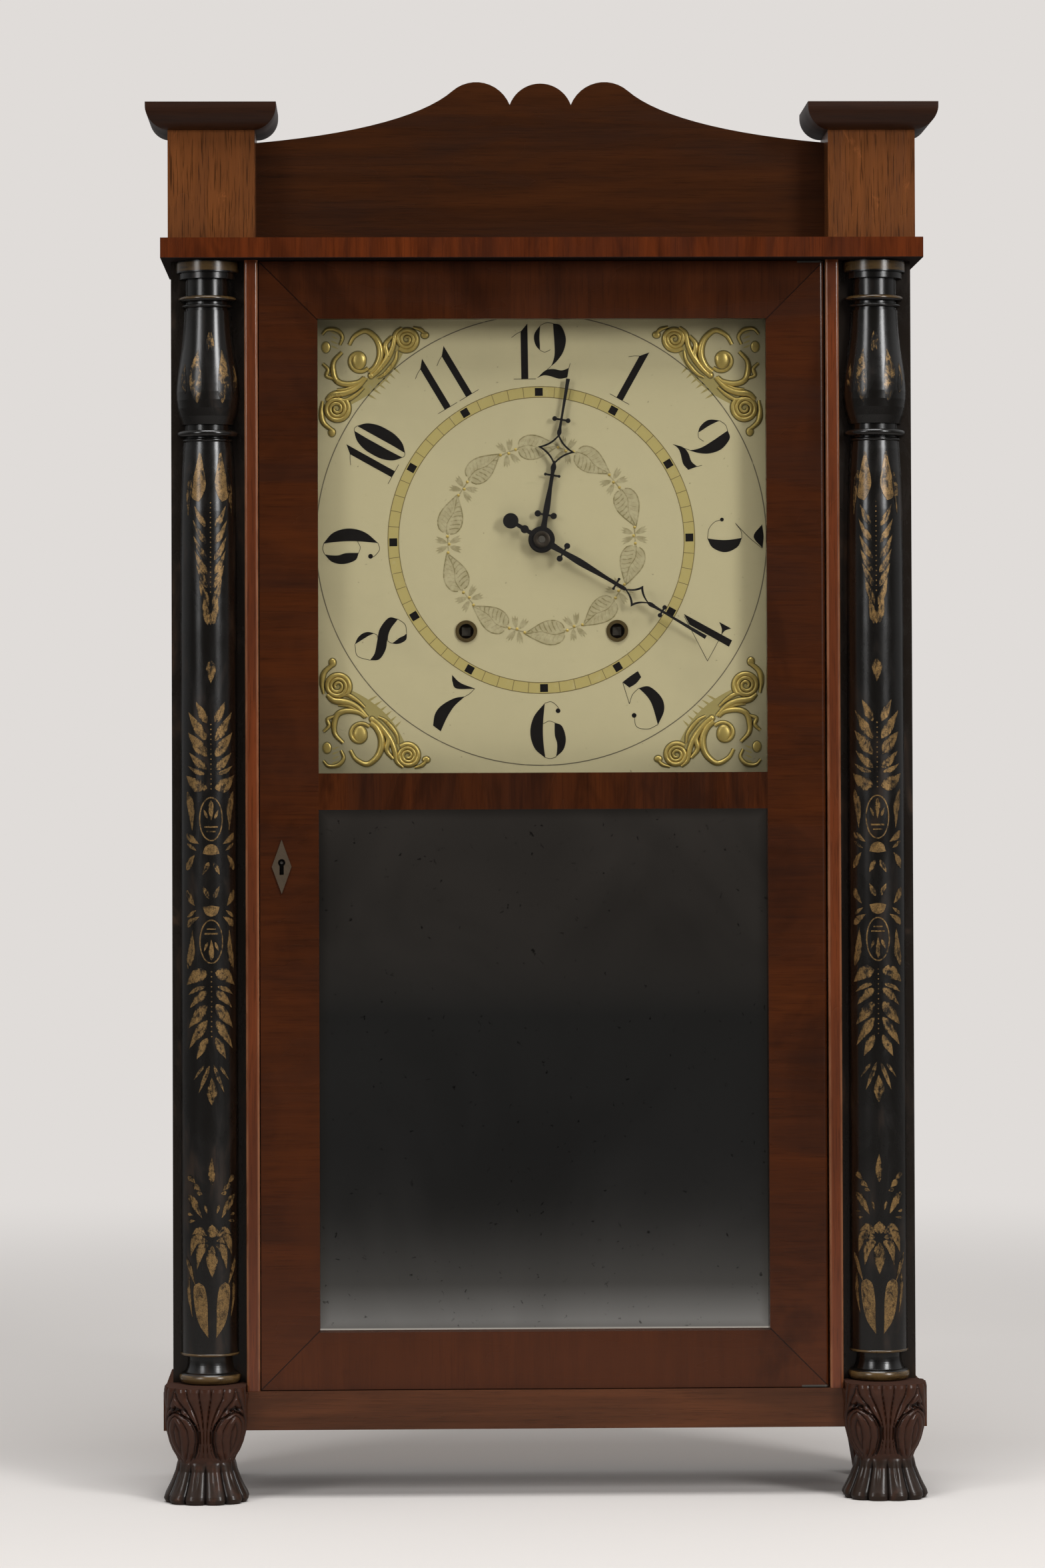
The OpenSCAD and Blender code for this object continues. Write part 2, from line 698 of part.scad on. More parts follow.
module plate_front() {
    color(plain_wood) difference() {
        block(-plate_w / 2, plate_w / 2, plate_y, plate_in, plate_z, plate_z + plate_h);
        for (p = pillars) rod_y(p[0], p[1], pillar_pin_r, plate_y - 1, plate_in + 1);
        for (side = [-1, 1])
            rod_y(side * winding_x, winding_z, winding_r + run, plate_y - 1, plate_in + 1);
        rod_y(0, dial_z, centre_arbor_r + run, plate_y - 1, plate_in + 1);
        rod_y(escape_x, escape_z, pivot_r + run, plate_y - 1, plate_in + 1);
        rod_y(third_x, third_z, pivot_r + run, plate_in - 5, plate_in + 1);
        rod_y(pin_x, pin_z, pivot_r + run, plate_y - 1, plate_in + 1);
        rod_y(pin_x, fly_z, pivot_r + run, plate_in - 5, plate_in + 1);
        rod_y(hammer_x, hammer_z, pivot_r + run, plate_in - 5, plate_in + 1);
    }
    // Studs for the minute wheel, the count wheel, and the verge and pendulum
    color(iron) {
        rod_y(count_x, count_z, pivot_r, count_y0 - 1.2, plate_y);
        rod_y(0, minute_wheel_z, pivot_r, plate_y - minute_stud_l, plate_y);
        rod_y(pendulum_x, verge_z, pivot_r, plate_y - 13, plate_y);
    }
}

module plate_back() {
    color(plain_wood) difference() {
        union() {
            block(-plate_w / 2, plate_w / 2, plate2_y, plate2_out, plate_z, plate_z + plate_h);
            // Turned pillars, with pins that pass through the front plate
            for (p = pillars) {
                rod_y(p[0], p[1], pillar_r, plate_in, plate2_y + 1);
                rod_y(p[0], p[1], pillar_pin_r, plate_y - 3, plate2_y + 1);
            }
        }
        for (p = [[winding_x, winding_z], [-winding_x, winding_z], [0, dial_z],
                [third_x, third_z], [escape_x, escape_z], [pin_x, pin_z], [pin_x, fly_z],
                [hammer_x, hammer_z]])
            rod_y(p[0], p[1], pivot_r + run, plate2_y - 1, plate2_y + 5);
    }
}

// Bell on its post, with the mouth towards the back
module bell() {
    dome_r = (bell_r * bell_r + bell_depth * bell_depth) / (2 * bell_depth);
    dome_in = dome_r - bell_wall;
    top_y = bell_mouth_y - bell_depth;
    color(brass) translate([bell_x, bell_mouth_y, bell_z]) rotate([90, 0, 0])
        difference() {
            rotate_extrude() difference() {
                intersection() {
                    translate([0, bell_depth - dome_r]) circle(dome_r);
                    square([bell_r + 1, bell_depth + 1]);
                }
                translate([0, bell_depth - dome_r]) circle(dome_in);
            }
            translate([0, 0, -1]) cylinder(r = 3, h = bell_depth + 9);
        }
    color(iron) {
        rod_y(bell_x, bell_z, 2.95, top_y - 1.5, inner_back);
        rod_y(bell_x, bell_z, 5, top_y - 5, top_y - 0.4);
        rod_y(bell_x, bell_z, 6, top_y + bell_wall + 0.4, top_y + bell_wall + 4);
        rod_y(bell_x, bell_z, 12, inner_back - 3, inner_back);
    }
}

// Cords, pulleys and weights

cord_normal = [sin(cord_angle), -cos(cord_angle)];
module cord_run(side) {
    color(cord_colour) sided(side) {
        // Straight run from the drum's outer side to the pulley's inner side
        translate([winding_x + drum_wrap_r * cord_normal[0], cord_y,
                winding_z + drum_wrap_r * cord_normal[1]])
            rotate([0, 90 - cord_angle, 0]) cylinder(r = cord_r, h = cord_run_l);
        // Turn over the pulley
        translate([pulley_x, cord_y, pulley_z]) rotate([90, 0, 0])
            rotate_extrude(angle = cord_angle + 90) translate([wrap_r, 0]) circle(cord_r);
    }
}

module cord_runs() {
    cord_run(-1);
    cord_run(1);
}

module cord_drop(side) {
    color(cord_colour) sided(side)
        translate([weight_x, cord_y, drop_bottom]) cylinder(r = cord_r, h = drop_top - drop_bottom);
}

// Pulley that turns with its own pin in the cornice board
module pulley(side) {
    color(brass) sided(side) translate([pulley_x, cord_y, pulley_z]) rotate([90, 0, 0])
        rotate_extrude() {
            difference() {
                translate([0, -pulley_w / 2]) square([pulley_r, pulley_w]);
                translate([pulley_groove_r + cord_r + seat, 0]) circle(cord_r + seat);
                translate([pulley_groove_r + cord_r + seat, -cord_r - seat])
                    square([9, 2 * (cord_r + seat)]);
            }
            translate([0, -pulley_pin_l / 2]) square([pivot_r, pulley_pin_l]);
        }
}

// Cast weight: a round bar with chamfered ends and a wire eye for the cord
module weight(side) {
    chamfer = 2;
    color(iron) sided(side) translate([weight_x, cord_y, weight_z]) {
        rotate_extrude() polygon([[0, 0], [weight_r - chamfer, 0], [weight_r, chamfer],
            [weight_r, weight_h - 2 * chamfer], [weight_r - 2 * chamfer, weight_h], [0, weight_h]]);
        translate([0, 0, weight_h + weight_hook_h - 5.2]) rotate([90, 0, 0])
            rotate_extrude() translate([4, 0]) circle(1.2);
    }
}

// Door

// Rabbets for the glass and the mirror, on the inner edges of the frame
module door_rabbets() {
    back = door_back + 1;
    for (z = [[mirror_z, mirror_open_h], [dial_open_z, dial_open_h]])
        block(-open_w / 2 - rabbet_w, open_w / 2 + rabbet_w, glass_front, back,
            z[0] - rabbet_w, z[0] + z[1] + rabbet_w);
}

module keyhole_cut(y0, y1) {
    plate_xz(keyhole_x, keyhole_z, y0, y1) {
        translate([0, 2.6]) circle(2.3);
        translate([-1.35, -5]) square([2.7, 7]);
    }
}

module stile_left() {
    color(veneer) difference() {
        block(-door_w / 2, -open_w / 2, door_front, door_back, door_z, door_top);
        door_rabbets();
        keyhole_cut(door_front - 1, door_back + 1);
    }
}

module stile_right() {
    color(veneer) difference() {
        union() {
            block(open_w / 2, hinge_x, door_front, door_back, door_z, door_top);
            block(hinge_x - 1, door_w / 2, hinge_y, door_back, door_z, door_top);
            translate([hinge_x, hinge_y, door_z]) cylinder(r = hinge_inset, h = door_top - door_z);
        }
        door_rabbets();
        for (z = [door_z - 1, door_top - hinge_plate[2]])
            block(door_w / 2 - hinge_plate[0], door_w / 2 + 1, hinge_y - hinge_inset - 1,
                hinge_y + hinge_plate[1] - hinge_inset, z, z + hinge_plate[2] + 1);
    }
}

module door_rail(z0, z1) {
    color(veneer) difference() {
        block(-open_w / 2, open_w / 2, door_front, door_back, z0, z1);
        door_rabbets();
    }
}

// Plates let into the ends of the right stile, each with a pin
module door_pins() {
    color(iron) for (end = [0, 1]) {
        z = end == 0 ? door_z : door_top - hinge_plate[2];
        pin_z0 = end == 0 ? door_z - hinge_pin_l : door_top - hinge_plate[2];
        intersection() {
            block(door_w / 2 - hinge_plate[0], door_w / 2, door_front,
                door_front + hinge_plate[1], z, z + hinge_plate[2]);
            union() {
                block(door_w / 2 - hinge_plate[0] - 1, hinge_x, door_front - 1,
                    door_back, z - 1, z + 9);
                block(hinge_x - 1, door_w / 2 + 1, hinge_y, door_back, z - 1, z + 9);
                translate([hinge_x, hinge_y, z - 1]) cylinder(r = hinge_inset, h = 9);
            }
        }
        translate([hinge_x, hinge_y, pin_z0])
            cylinder(r = hinge_pin_r, h = hinge_pin_l + hinge_plate[2]);
    }
}

module pane(z, h, t, y) {
    gap = 0.4;
    block(-open_w / 2 - rabbet_w + gap, open_w / 2 + rabbet_w - gap, y, y + t,
        z - rabbet_w + gap, z + h + rabbet_w - gap);
}

module dial_glass() {
    color([0.75, 0.80, 0.80, 0.3]) pane(dial_open_z, dial_open_h, glass_t, glass_front);
}

module mirror_glass() {
    color([0.6, 0.62, 0.62]) pane(mirror_z, mirror_open_h, glass_t, glass_front);
}

module mirror_board() {
    color(plain_wood) pane(mirror_z, mirror_open_h, mirror_board_t, glass_front + glass_t);
}

module escutcheon() {
    color(brass) difference() {
        plate_xz(keyhole_x, keyhole_z, door_front - escutcheon_t, door_front)
            polygon([[0, -escutcheon_h / 2], [escutcheon_w / 2, 0], [0, escutcheon_h / 2],
                [-escutcheon_w / 2, 0]]);
        keyhole_cut(door_front - 3, door_front + 1);
    }
}

module lock_case() {
    lock_x = -door_w / 2 + 0.6;
    color(iron) {
        difference() {
            block(lock_x, lock_x + lock_w, door_back, door_back + lock_d,
                keyhole_z - lock_hh / 2, keyhole_z + lock_hh / 2);
            // Channel in which the bolt slides
            block(lock_x - 1, lock_x + bolt_l + bolt_throw, bolt_y - 0.1, bolt_y + bolt_t + 0.1,
                keyhole_z - bolt_h / 2 - 0.1, keyhole_z + bolt_h / 2 + 0.1);
        }
        // Pin that guides a hollow key
        rod_y(keyhole_x, keyhole_z + 2.6, 0.9, door_front + 1.5, door_back);
    }
}

module lock_bolt() {
    lock_x = -door_w / 2 + 0.6;
    color(iron) block(lock_x, lock_x + bolt_l, bolt_y, bolt_y + bolt_t,
        keyhole_z - bolt_h / 2, keyhole_z + bolt_h / 2);
}

// Winding drums and great wheels

drum_y0 = plate_in + 2;
drum_y1 = plate_in + 26;
square_l = 11;
square_w = 5.4;
arbor_front = dial_front + 4;

module winding_drum(side, wheel_y) {
    color(wheel_wood) {
        rod_y(side * winding_x, winding_z, drum_r, drum_y0, drum_y1);
        rod_y(side * winding_x, winding_z, drum_r + 6, drum_y0, drum_y0 + 2.5);
        rod_y(side * winding_x, winding_z, winding_r, arbor_front + square_l, plate2_y - 0.5);
        // Ratchet that the great wheel's click catches
        plate_xz(side * winding_x, winding_z, drum_y1, wheel_y - 0.5) polygon(ratchet_points(side));
    }
    color(iron) {
        rod_y(side * winding_x, winding_z, pivot_r, plate2_y - 4, plate2_y + 4.5);
        translate([side * winding_x, arbor_front + square_l / 2 + 0.5, winding_z])
            cube([square_w, square_l + 1, square_w], center = true);
    }
}

ratchet_n = 20;
function ratchet_points(side) = [for (i = [0:ratchet_n - 1], k = [0, 1])
    polar(drum_r + (k == 0 ? 2 : 5.5), side * (i + k * 0.12) * 360 / ratchet_n)];

great_y0 = plate2_y - 8;
great_y1 = plate2_y - 4;
strike_y0 = plate2_y - 12.5;
strike_y1 = plate2_y - 9;

module time_drum() { winding_drum(1, great_y0); }
module strike_drum() { winding_drum(-1, strike_y0); }

module time_great_wheel() {
    color(wheel_wood) difference() {
        plate_xz(winding_x, winding_z, great_y0, great_y1, great_turn) wheel_2d(great_n, great_m);
        rod_y(winding_x, winding_z, winding_r + run, great_y0 - 1, great_y1 + 1);
        for (a = [0:60:300]) rod_y(winding_x + 41 * cos(a), winding_z + 41 * sin(a), 13,
            great_y0 - 1, great_y1 + 1);
    }
}

module strike_great_wheel() {
    color(wheel_wood) difference() {
        plate_xz(-winding_x, winding_z, strike_y0, strike_y1) wheel_2d(strike_n, strike_m);
        rod_y(-winding_x, winding_z, winding_r + run, strike_y0 - 1, strike_y1 + 1);
    }
}

// Arbor with a thick wooden body and iron pivots in both plates
module arbor(x, z, r, y0 = plate_in - 4.5, y1 = plate2_y + 4.5) {
    color(iron) rod_y(x, z, pivot_r, y0, y1);
    color(wheel_wood) rod_y(x, z, r, plate_in + 0.5, plate2_y - 0.5);
}

centre_wheel_y = plate_in + 23;
third_wheel_y = plate_in + 14;

module centre_wheel() {
    color(wheel_wood) difference() {
        plate_xz(0, dial_z, centre_wheel_y, centre_wheel_y + 3.5, centre_turn)
            wheel_2d(centre_n, centre_m);
        for (a = [0:90:270]) rod_y(25 * cos(a), dial_z + 25 * sin(a), 9,
            centre_wheel_y - 1, centre_wheel_y + 5);
    }
    color(wheel_wood) plate_xz(0, dial_z, great_y0 - 0.4, great_y1 + 2, centre_pinion_turn)
        pinion_2d(centre_pinion_n, great_m);
    color(wheel_wood) rod_y(0, dial_z, 4, plate_in + 0.5, plate2_y - 0.5);
    color(iron) {
        rod_y(0, dial_z, centre_arbor_r, minute_hand_y - 2.4, plate_in + 1);
        rod_y(0, dial_z, pivot_r, plate2_y - 1, plate2_y + 4.5);
    }
}

module third_wheel() {
    arbor(third_x, third_z, 2);
    color(wheel_wood) {
        difference() {
            plate_xz(third_x, third_z, third_wheel_y, third_wheel_y + 3, third_turn)
                wheel_2d(third_n, third_m);
            for (a = [0:90:270]) rod_y(third_x + 20 * cos(a), third_z + 20 * sin(a), 7.5,
                third_wheel_y - 1, third_wheel_y + 4);
        }
        plate_xz(third_x, third_z, centre_wheel_y - 1.5, centre_wheel_y + 5, third_pinion_turn)
            pinion_2d(third_pinion_n, centre_m);
    }
}

// Escape wheel in front of the plate, with leaning teeth and four arms
escape_y0 = plate_y - 5.5;
escape_y1 = plate_y - 3;
escape_root = escape_r - 4.5;
escape_hub = 5;
module escape_wheel() {
    arbor(escape_x, escape_z, 1.9, y0 = escape_y0 - 0.6);
    color(wheel_wood) plate_xz(escape_x, escape_z, third_wheel_y - 1, third_wheel_y + 4,
        escape_pinion_turn) pinion_2d(escape_pinion_n, third_m);
    color(brass) plate_xz(escape_x, escape_z, escape_y0, escape_y1) {
        difference() {
            polygon([for (i = [0:escape_n - 1], q = [[escape_root, 0], [escape_r, 0.42],
                [escape_r, 0.52], [escape_root, 0.7]]) polar(q[0], (i + q[1]) * 360 / escape_n)]);
            circle(escape_root - 2.4);
        }
        circle(escape_hub);
        for (a = [0, 90]) rotate(a) square([2 * escape_root - 3, 2.6], center = true);
    }
}

// Verge with two pallets over the escape wheel, and the crutch that drives the pendulum
pallet_tip_r = 26.4;
pallet_a = 32;
pallet_tip = polar(pallet_tip_r, 90 - pallet_a) - [0, verge_z - escape_z];
crutch_l = 64;
rod_r = 1.1;
rod_y0 = plate_y - 11;
module verge() {
    color(iron) difference() {
        union() {
            rod_y(pendulum_x, verge_z, 4, plate_y - 8, plate_y - 0.8);
            for (side = [-1, 1]) plate_xz(pendulum_x, verge_z, escape_y0, escape_y1)
                polygon([[side * 2, 3.4], [side * (pallet_tip[0] + 1.2), pallet_tip[1] + 8],
                    [side * (pallet_tip[0] + 1.2), pallet_tip[1]], [side * pallet_tip[0], pallet_tip[1]],
                    [side * (pallet_tip[0] - 0.6), pallet_tip[1] + 6.5], [side * 2, -1]]);
            plate_xz(pendulum_x, verge_z, plate_y - 7.8, plate_y - 6.4)
                polygon([[-1.4, 0], [1.4, 0], [1.1, -crutch_l], [-1.1, -crutch_l]]);
            // Fork round the pendulum rod
            block(pendulum_x - rod_r - 2, pendulum_x + rod_r + 2, plate_y - 7.8, plate_y - 6.4,
                verge_z - crutch_l - 2, verge_z - crutch_l + 0.5);
            for (x = [-rod_r - 2, rod_r + 0.4]) block(pendulum_x + x, pendulum_x + x + 1.6,
                rod_y0 - 1.6, plate_y - 6.4, verge_z - crutch_l - 2, verge_z - crutch_l + 0.5);
        }
        rod_y(pendulum_x, verge_z, pivot_r + run, plate_y - 9, plate_y);
    }
}

module pendulum_rod() {
    color(iron) difference() {
        union() {
            rod_y(pendulum_x, verge_z, 3, rod_y0 - 1.2, rod_y0 + 1.2);
            translate([pendulum_x, rod_y0, bob_z - bob_r - 10])
                cylinder(r = rod_r, h = verge_z - bob_z + bob_r + 10 - 2);
        }
        rod_y(pendulum_x, verge_z, pivot_r + run, rod_y0 - 3, rod_y0 + 3);
    }
}

// One of the two balls whose overlap is the lens of the bob
module lens_side(side, r, t) {
    translate([pendulum_x, rod_y0 + side * (r - t / 2), bob_z]) sphere(r, $fn = 160);
}

// Lens-shaped bob with a hole for the rod and a nut under it
module pendulum_bob() {
    bob_t = 8;
    lens_r = (bob_r * bob_r + bob_t * bob_t / 4) / bob_t;
    color(brass) difference() {
        intersection() {
            lens_side(-1, lens_r, bob_t);
            lens_side(1, lens_r, bob_t);
        }
        translate([pendulum_x, rod_y0, bob_z - 2 * bob_r]) cylinder(r = rod_r, h = 4 * bob_r);
    }
    color(brass) difference() {
        translate([pendulum_x, rod_y0, bob_z - bob_r - 4.2]) cylinder(r = 3.4, h = 3.6, $fn = 6);
        translate([pendulum_x, rod_y0, bob_z - bob_r - 9]) cylinder(r = rod_r, h = 9);
    }
}

// Motion work and hands

minute_wheel_y0 = plate_y - 3.7;
minute_wheel_y1 = plate_y - 1;
hour_wheel_y0 = plate_y - 8;
hour_wheel_y1 = plate_y - 5.2;

module minute_wheel() {
    color(wheel_wood) difference() {
        union() {
            plate_xz(0, minute_wheel_z, minute_wheel_y0, minute_wheel_y1, minute_wheel_turn)
                wheel_2d(minute_wheel_n, motion_m);
            plate_xz(0, minute_wheel_z, hour_wheel_y0 - 0.3, minute_wheel_y0)
                pinion_2d(minute_pinion_n, hour_m);
        }
        rod_y(0, minute_wheel_z, pivot_r + run, plate_y - 20, plate_y);
    }
}

// Pieces of a hand, drawn pointing up from the hub
module hand_bar(y, half, ball) {
    translate([-half, y - 0.6]) square([2 * half, 1.2]);
    for (x = [-half, half]) translate([x, y]) circle(ball);
}
module hand_stem(y0, y1, w0, w1) {
    polygon([[-w0 / 2, y0], [w0 / 2, y0], [w1 / 2, y1], [-w1 / 2, y1]]);
}

// Open diamond with four hollow sides
module hand_diamond(y0, y1, half) {
    mid = (y0 + y1) / 2;
    len = (y1 - y0) / 2;
    pull = 0.30;
    outer = [for (q = [0:3], t = [0:0.125:0.875]) diamond_point(q, t, half, len, pull)];
    inner = [for (q = [0:3], t = [0:0.125:0.875])
        diamond_point(q, t, half - 2.6, len - 2, pull * (half + 1) / half)];
    translate([0, mid]) difference() {
        polygon(outer);
        polygon(inner);
    }
}
function diamond_point(q, t, half, len, pull) = let (
    a = q % 2 == 0 ? [half * (1 - q), 0] : [0, len * (2 - q)],
    b = q % 2 == 0 ? [0, len * (1 - q)] : [half * (q - 2), 0],
    c = (a + b) * pull)
    pow(1 - t, 2) * a + 2 * (1 - t) * t * c + t * t * b;

hand_hub_r = 8.4;
module hour_hand_2d() {
    l = hour_len / 103;
    circle(hand_hub_r);
    hand_stem(6, 48.5 * l, 3, 2.2);
    hand_bar(15.9, 5.1, 2);
    hand_bar(41.2 * l, 4.4, 0.9);
    hand_diamond(47.5 * l, 67.8 * l, 11.9);
    hand_stem(67 * l, 78 * l, 1.3, 1.6);
    hand_bar(76.8 * l, 4.3, 1.5);
    hand_stem(77 * l, hour_len, 1.3, 2.4);
}

module minute_hand_2d() {
    l = minute_len / 120.5;
    circle(hand_hub_r - 0.6);
    hand_stem(6, 61.5 * l, 2.9, 2.2);
    hand_bar(15.9, 4.6, 1.9);
    hand_bar(54.7 * l, 3.4, 0.9);
    hand_diamond(60.6 * l, 79.2 * l, 7.8);
    hand_stem(78.4 * l, 89 * l, 1.3, 1.6);
    hand_bar(88.5 * l, 2.9, 1.4);
    hand_stem(88.5 * l, minute_len, 1.2, 2.4);
    // Tail with a small lobe and a round balance
    hand_stem(-22, -6, 2.4, 2.8);
    translate([0, -12.5]) circle(2.6);
    translate([0, -22.8]) circle(4.9);
}

hour_at = 9.55;
minute_at = 121;

module minute_hand() {
    color(iron) difference() {
        union() {
            plate_xz(0, dial_z, minute_hand_y - hand_t, minute_hand_y, -minute_at) minute_hand_2d();
            rod_y(0, dial_z, 5.6, minute_hand_y - hand_t - 0.9, minute_hand_y);
            rod_y(0, dial_z, minute_pipe_r, minute_hand_y, plate_y - 0.7);
            plate_xz(0, dial_z, minute_wheel_y0 - 0.5, plate_y - 0.7) pinion_2d(cannon_n, motion_m);
        }
        rod_y(0, dial_z, centre_arbor_r + run, minute_hand_y - 9, plate_y);
    }
}

module hour_hand() {
    color(iron) difference() {
        union() {
            plate_xz(0, dial_z, hour_hand_y - hand_t, hour_hand_y, -hour_at) hour_hand_2d();
            rod_y(0, dial_z, hour_pipe_r, hour_hand_y, hour_wheel_y1);
            plate_xz(0, dial_z, hour_wheel_y0, hour_wheel_y1, hour_wheel_turn)
                wheel_2d(hour_wheel_n, hour_m);
        }
        rod_y(0, dial_z, minute_pipe_r + run, hour_hand_y - 9, plate_y);
    }
}

// Striking train

pin_wheel_y = plate_in + 14;
module pin_wheel() {
    arbor(pin_x, pin_z, 2, y0 = count_y0 - 0.6);
    color(wheel_wood) {
        plate_xz(pin_x, pin_z, count_y0 - 0.4, count_y1 + 0.4) pinion_2d(count_pinion_n, count_m);
        plate_xz(pin_x, pin_z, pin_wheel_y, pin_wheel_y + 3) wheel_2d(pin_n, pin_m);
        plate_xz(pin_x, pin_z, strike_y0 - 0.5, strike_y1 + 1, pin_pinion_turn)
            pinion_2d(pin_pinion_n, strike_m);
    }
    // Pins that lift the hammer
    color(iron) for (i = [0:pin_count - 1])
        rod_y(pin_x + pin_circle * cos(i * 360 / pin_count), pin_z + pin_circle * sin(i * 360 / pin_count),
            1, pin_wheel_y + 2, pin_wheel_y + 5.7);
}

module fly() {
    fly_y0 = strike_y0 - 0.2;
    arbor(pin_x, fly_z, 1.9);
    color(wheel_wood) plate_xz(pin_x, fly_z, pin_wheel_y - 1, pin_wheel_y + 4, fly_pinion_turn)
        pinion_2d(fly_pinion_n, pin_m);
    color(brass) plate_xz(pin_x, fly_z, fly_y0, plate2_y - 1.5)
        square([2 * fly_r, 1], center = true);
}

// Count wheel in front of the plate, with a slot after each number of strokes
module count_wheel() {
    color(wheel_wood) difference() {
        union() {
            plate_xz(count_x, count_z, count_y0, count_y1, count_turn) wheel_2d(count_n, count_m);
            rod_y(count_x, count_z, 4, count_y0 - 0.8, count_y1 + 1);
        }
        rod_y(count_x, count_z, pivot_r + run, count_y0 - 2, count_y1 + 2);
        for (i = [1:12]) plate_xz(count_x, count_z, count_y0 - 1, count_y1 + 1,
            i * (i + 1) / 2 * 360 / count_n) translate([26, -1.2]) square([5, 2.4]);
    }
}

// Hammer that falls on the bell's rim
module hammer() {
    reach = bell_r + hammer_head_r + hammer_gap;
    head = [bell_x, bell_z] + polar(reach, hammer_head_a);
    drop = [hammer_x, hammer_z] - head;
    tail_x = pin_x - pin_circle - 1.9;
    arbor(hammer_x, hammer_z, 2.4);
    color(iron) {
        translate([head[0], hammer_y, head[1]])
            rotate([0, atan2(drop[0], drop[1]), 0]) cylinder(r = 1.3, h = norm(drop));
        translate([head[0], hammer_y, head[1]]) sphere(hammer_head_r);
        plate_xz(0, 0, pin_wheel_y + 3.4, pin_wheel_y + 5.4)
            polygon([[hammer_x, hammer_z - 2], [tail_x, pin_z - 6.2], [tail_x, pin_z - 4],
                [hammer_x, hammer_z + 2]]);
    }
}

base_slab();
side_board(-1);  // side_left
side_board(1);  // side_right
back_boards();
pilasters();
door_strip(-1);  // door_strip_left
door_strip(1);  // door_strip_right
column(-1);  // column_left
column(1);  // column_right
foot_front(-1);  // foot_front_left
foot_front(1);  // foot_front_right
rear_feet();
cornice_board();
chimney(-1);  // chimney_left
chimney(1);  // chimney_right
cap(-1);  // cap_left
cap(1);  // cap_right
splat();
dial_board();
winding_rings();
movement_rails();
plate_front();
plate_back();
bell();
cord_runs();
pulley(-1);  // pulley_left
pulley(1);  // pulley_right
cord_drop(-1);  // cord_drop_left
cord_drop(1);  // cord_drop_right
weight(-1);  // weight_left
weight(1);  // weight_right
stile_left();
stile_right();
door_rail(top_rail_z, door_top);  // rail_top
door_rail(mid_rail_z, dial_open_z);  // rail_middle
door_rail(door_z, mirror_z);  // rail_bottom
dial_glass();
mirror_glass();
mirror_board();
escutcheon();
lock_case();
lock_bolt();
door_pins();
time_drum();
time_great_wheel();
centre_wheel();
third_wheel();
escape_wheel();
verge();
pendulum_rod();
pendulum_bob();
minute_hand();
hour_hand();
minute_wheel();
strike_drum();
strike_great_wheel();
pin_wheel();
fly();
count_wheel();
hammer();
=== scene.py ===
import json
import math

import bmesh
import bpy
import numpy as np
from mathutils import Matrix, Vector

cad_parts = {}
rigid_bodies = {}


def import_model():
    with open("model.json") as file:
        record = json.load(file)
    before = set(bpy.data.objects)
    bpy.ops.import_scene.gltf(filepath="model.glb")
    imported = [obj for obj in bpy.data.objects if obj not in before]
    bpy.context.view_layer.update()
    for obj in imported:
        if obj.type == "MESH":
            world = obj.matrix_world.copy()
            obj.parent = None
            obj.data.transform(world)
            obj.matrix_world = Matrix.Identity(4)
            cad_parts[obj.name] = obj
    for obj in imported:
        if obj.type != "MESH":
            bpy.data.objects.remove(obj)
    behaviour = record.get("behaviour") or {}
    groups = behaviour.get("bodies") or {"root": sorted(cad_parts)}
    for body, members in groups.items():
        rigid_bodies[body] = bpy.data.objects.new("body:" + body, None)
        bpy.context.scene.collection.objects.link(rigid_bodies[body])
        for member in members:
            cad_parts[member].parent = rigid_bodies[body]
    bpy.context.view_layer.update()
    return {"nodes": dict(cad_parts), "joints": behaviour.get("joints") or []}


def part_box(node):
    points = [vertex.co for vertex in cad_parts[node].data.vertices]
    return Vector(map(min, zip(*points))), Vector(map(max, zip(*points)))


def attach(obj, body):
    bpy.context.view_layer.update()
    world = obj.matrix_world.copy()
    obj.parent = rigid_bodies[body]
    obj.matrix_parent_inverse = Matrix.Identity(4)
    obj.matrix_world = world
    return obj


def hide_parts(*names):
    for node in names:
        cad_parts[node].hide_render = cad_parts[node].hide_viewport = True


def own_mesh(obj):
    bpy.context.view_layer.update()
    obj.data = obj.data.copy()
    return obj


bl_info = {
    "name": "Shelf Clock",
    "version": (1, 0, 0),
    "blender": (4, 5, 0),
    "location": "View3D > Sidebar > Clock",
    "description": "Finishes and fine pieces for a shelf clock with half columns",
    "category": "Add Mesh",
}

for leftover in list(bpy.data.objects):
    bpy.data.objects.remove(leftover)
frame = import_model()

# Places that the frame gives, in metres
JOINTS = {joint["name"]: joint for joint in frame["joints"]}
DIAL_X, _, DIAL_Z = JOINTS["hour_hand"]["pos_m"]
DIAL_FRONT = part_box("dial_board")[0].y
OPEN_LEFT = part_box("stile_left")[1].x
OPEN_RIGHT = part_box("stile_right")[0].x
OPEN_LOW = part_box("rail_middle")[1].z
OPEN_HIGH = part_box("rail_top")[0].z
DOOR_LOW, DOOR_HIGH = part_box("stile_left")[0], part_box("stile_right")[1]
SLAB_LOW, SLAB_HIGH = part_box("base_slab")
SIDES = ("left", "right")


def display(red, green, blue):
    """A colour given as display values from 0 to 255, as the linear values of a shader."""
    c = np.array([red, green, blue]) / 255
    return tuple(float(v) for v in np.where(c <= 0.04045, c / 12.92, ((c + 0.055) / 1.055) ** 2.4))


# ---- Settings -------------------------------------------------------------------------


def colour(name, description, *values):
    """A colour setting, from display values."""
    return bpy.props.FloatVectorProperty(
        name=name, description=description, subtype="COLOR", size=3, min=0.0, max=1.0,
        default=display(*values))


def length(name, description, millimetres):
    """A length setting, from millimetres."""
    return bpy.props.FloatProperty(
        name=name, description=description, unit="LENGTH", min=0.0, default=millimetres / 1000)


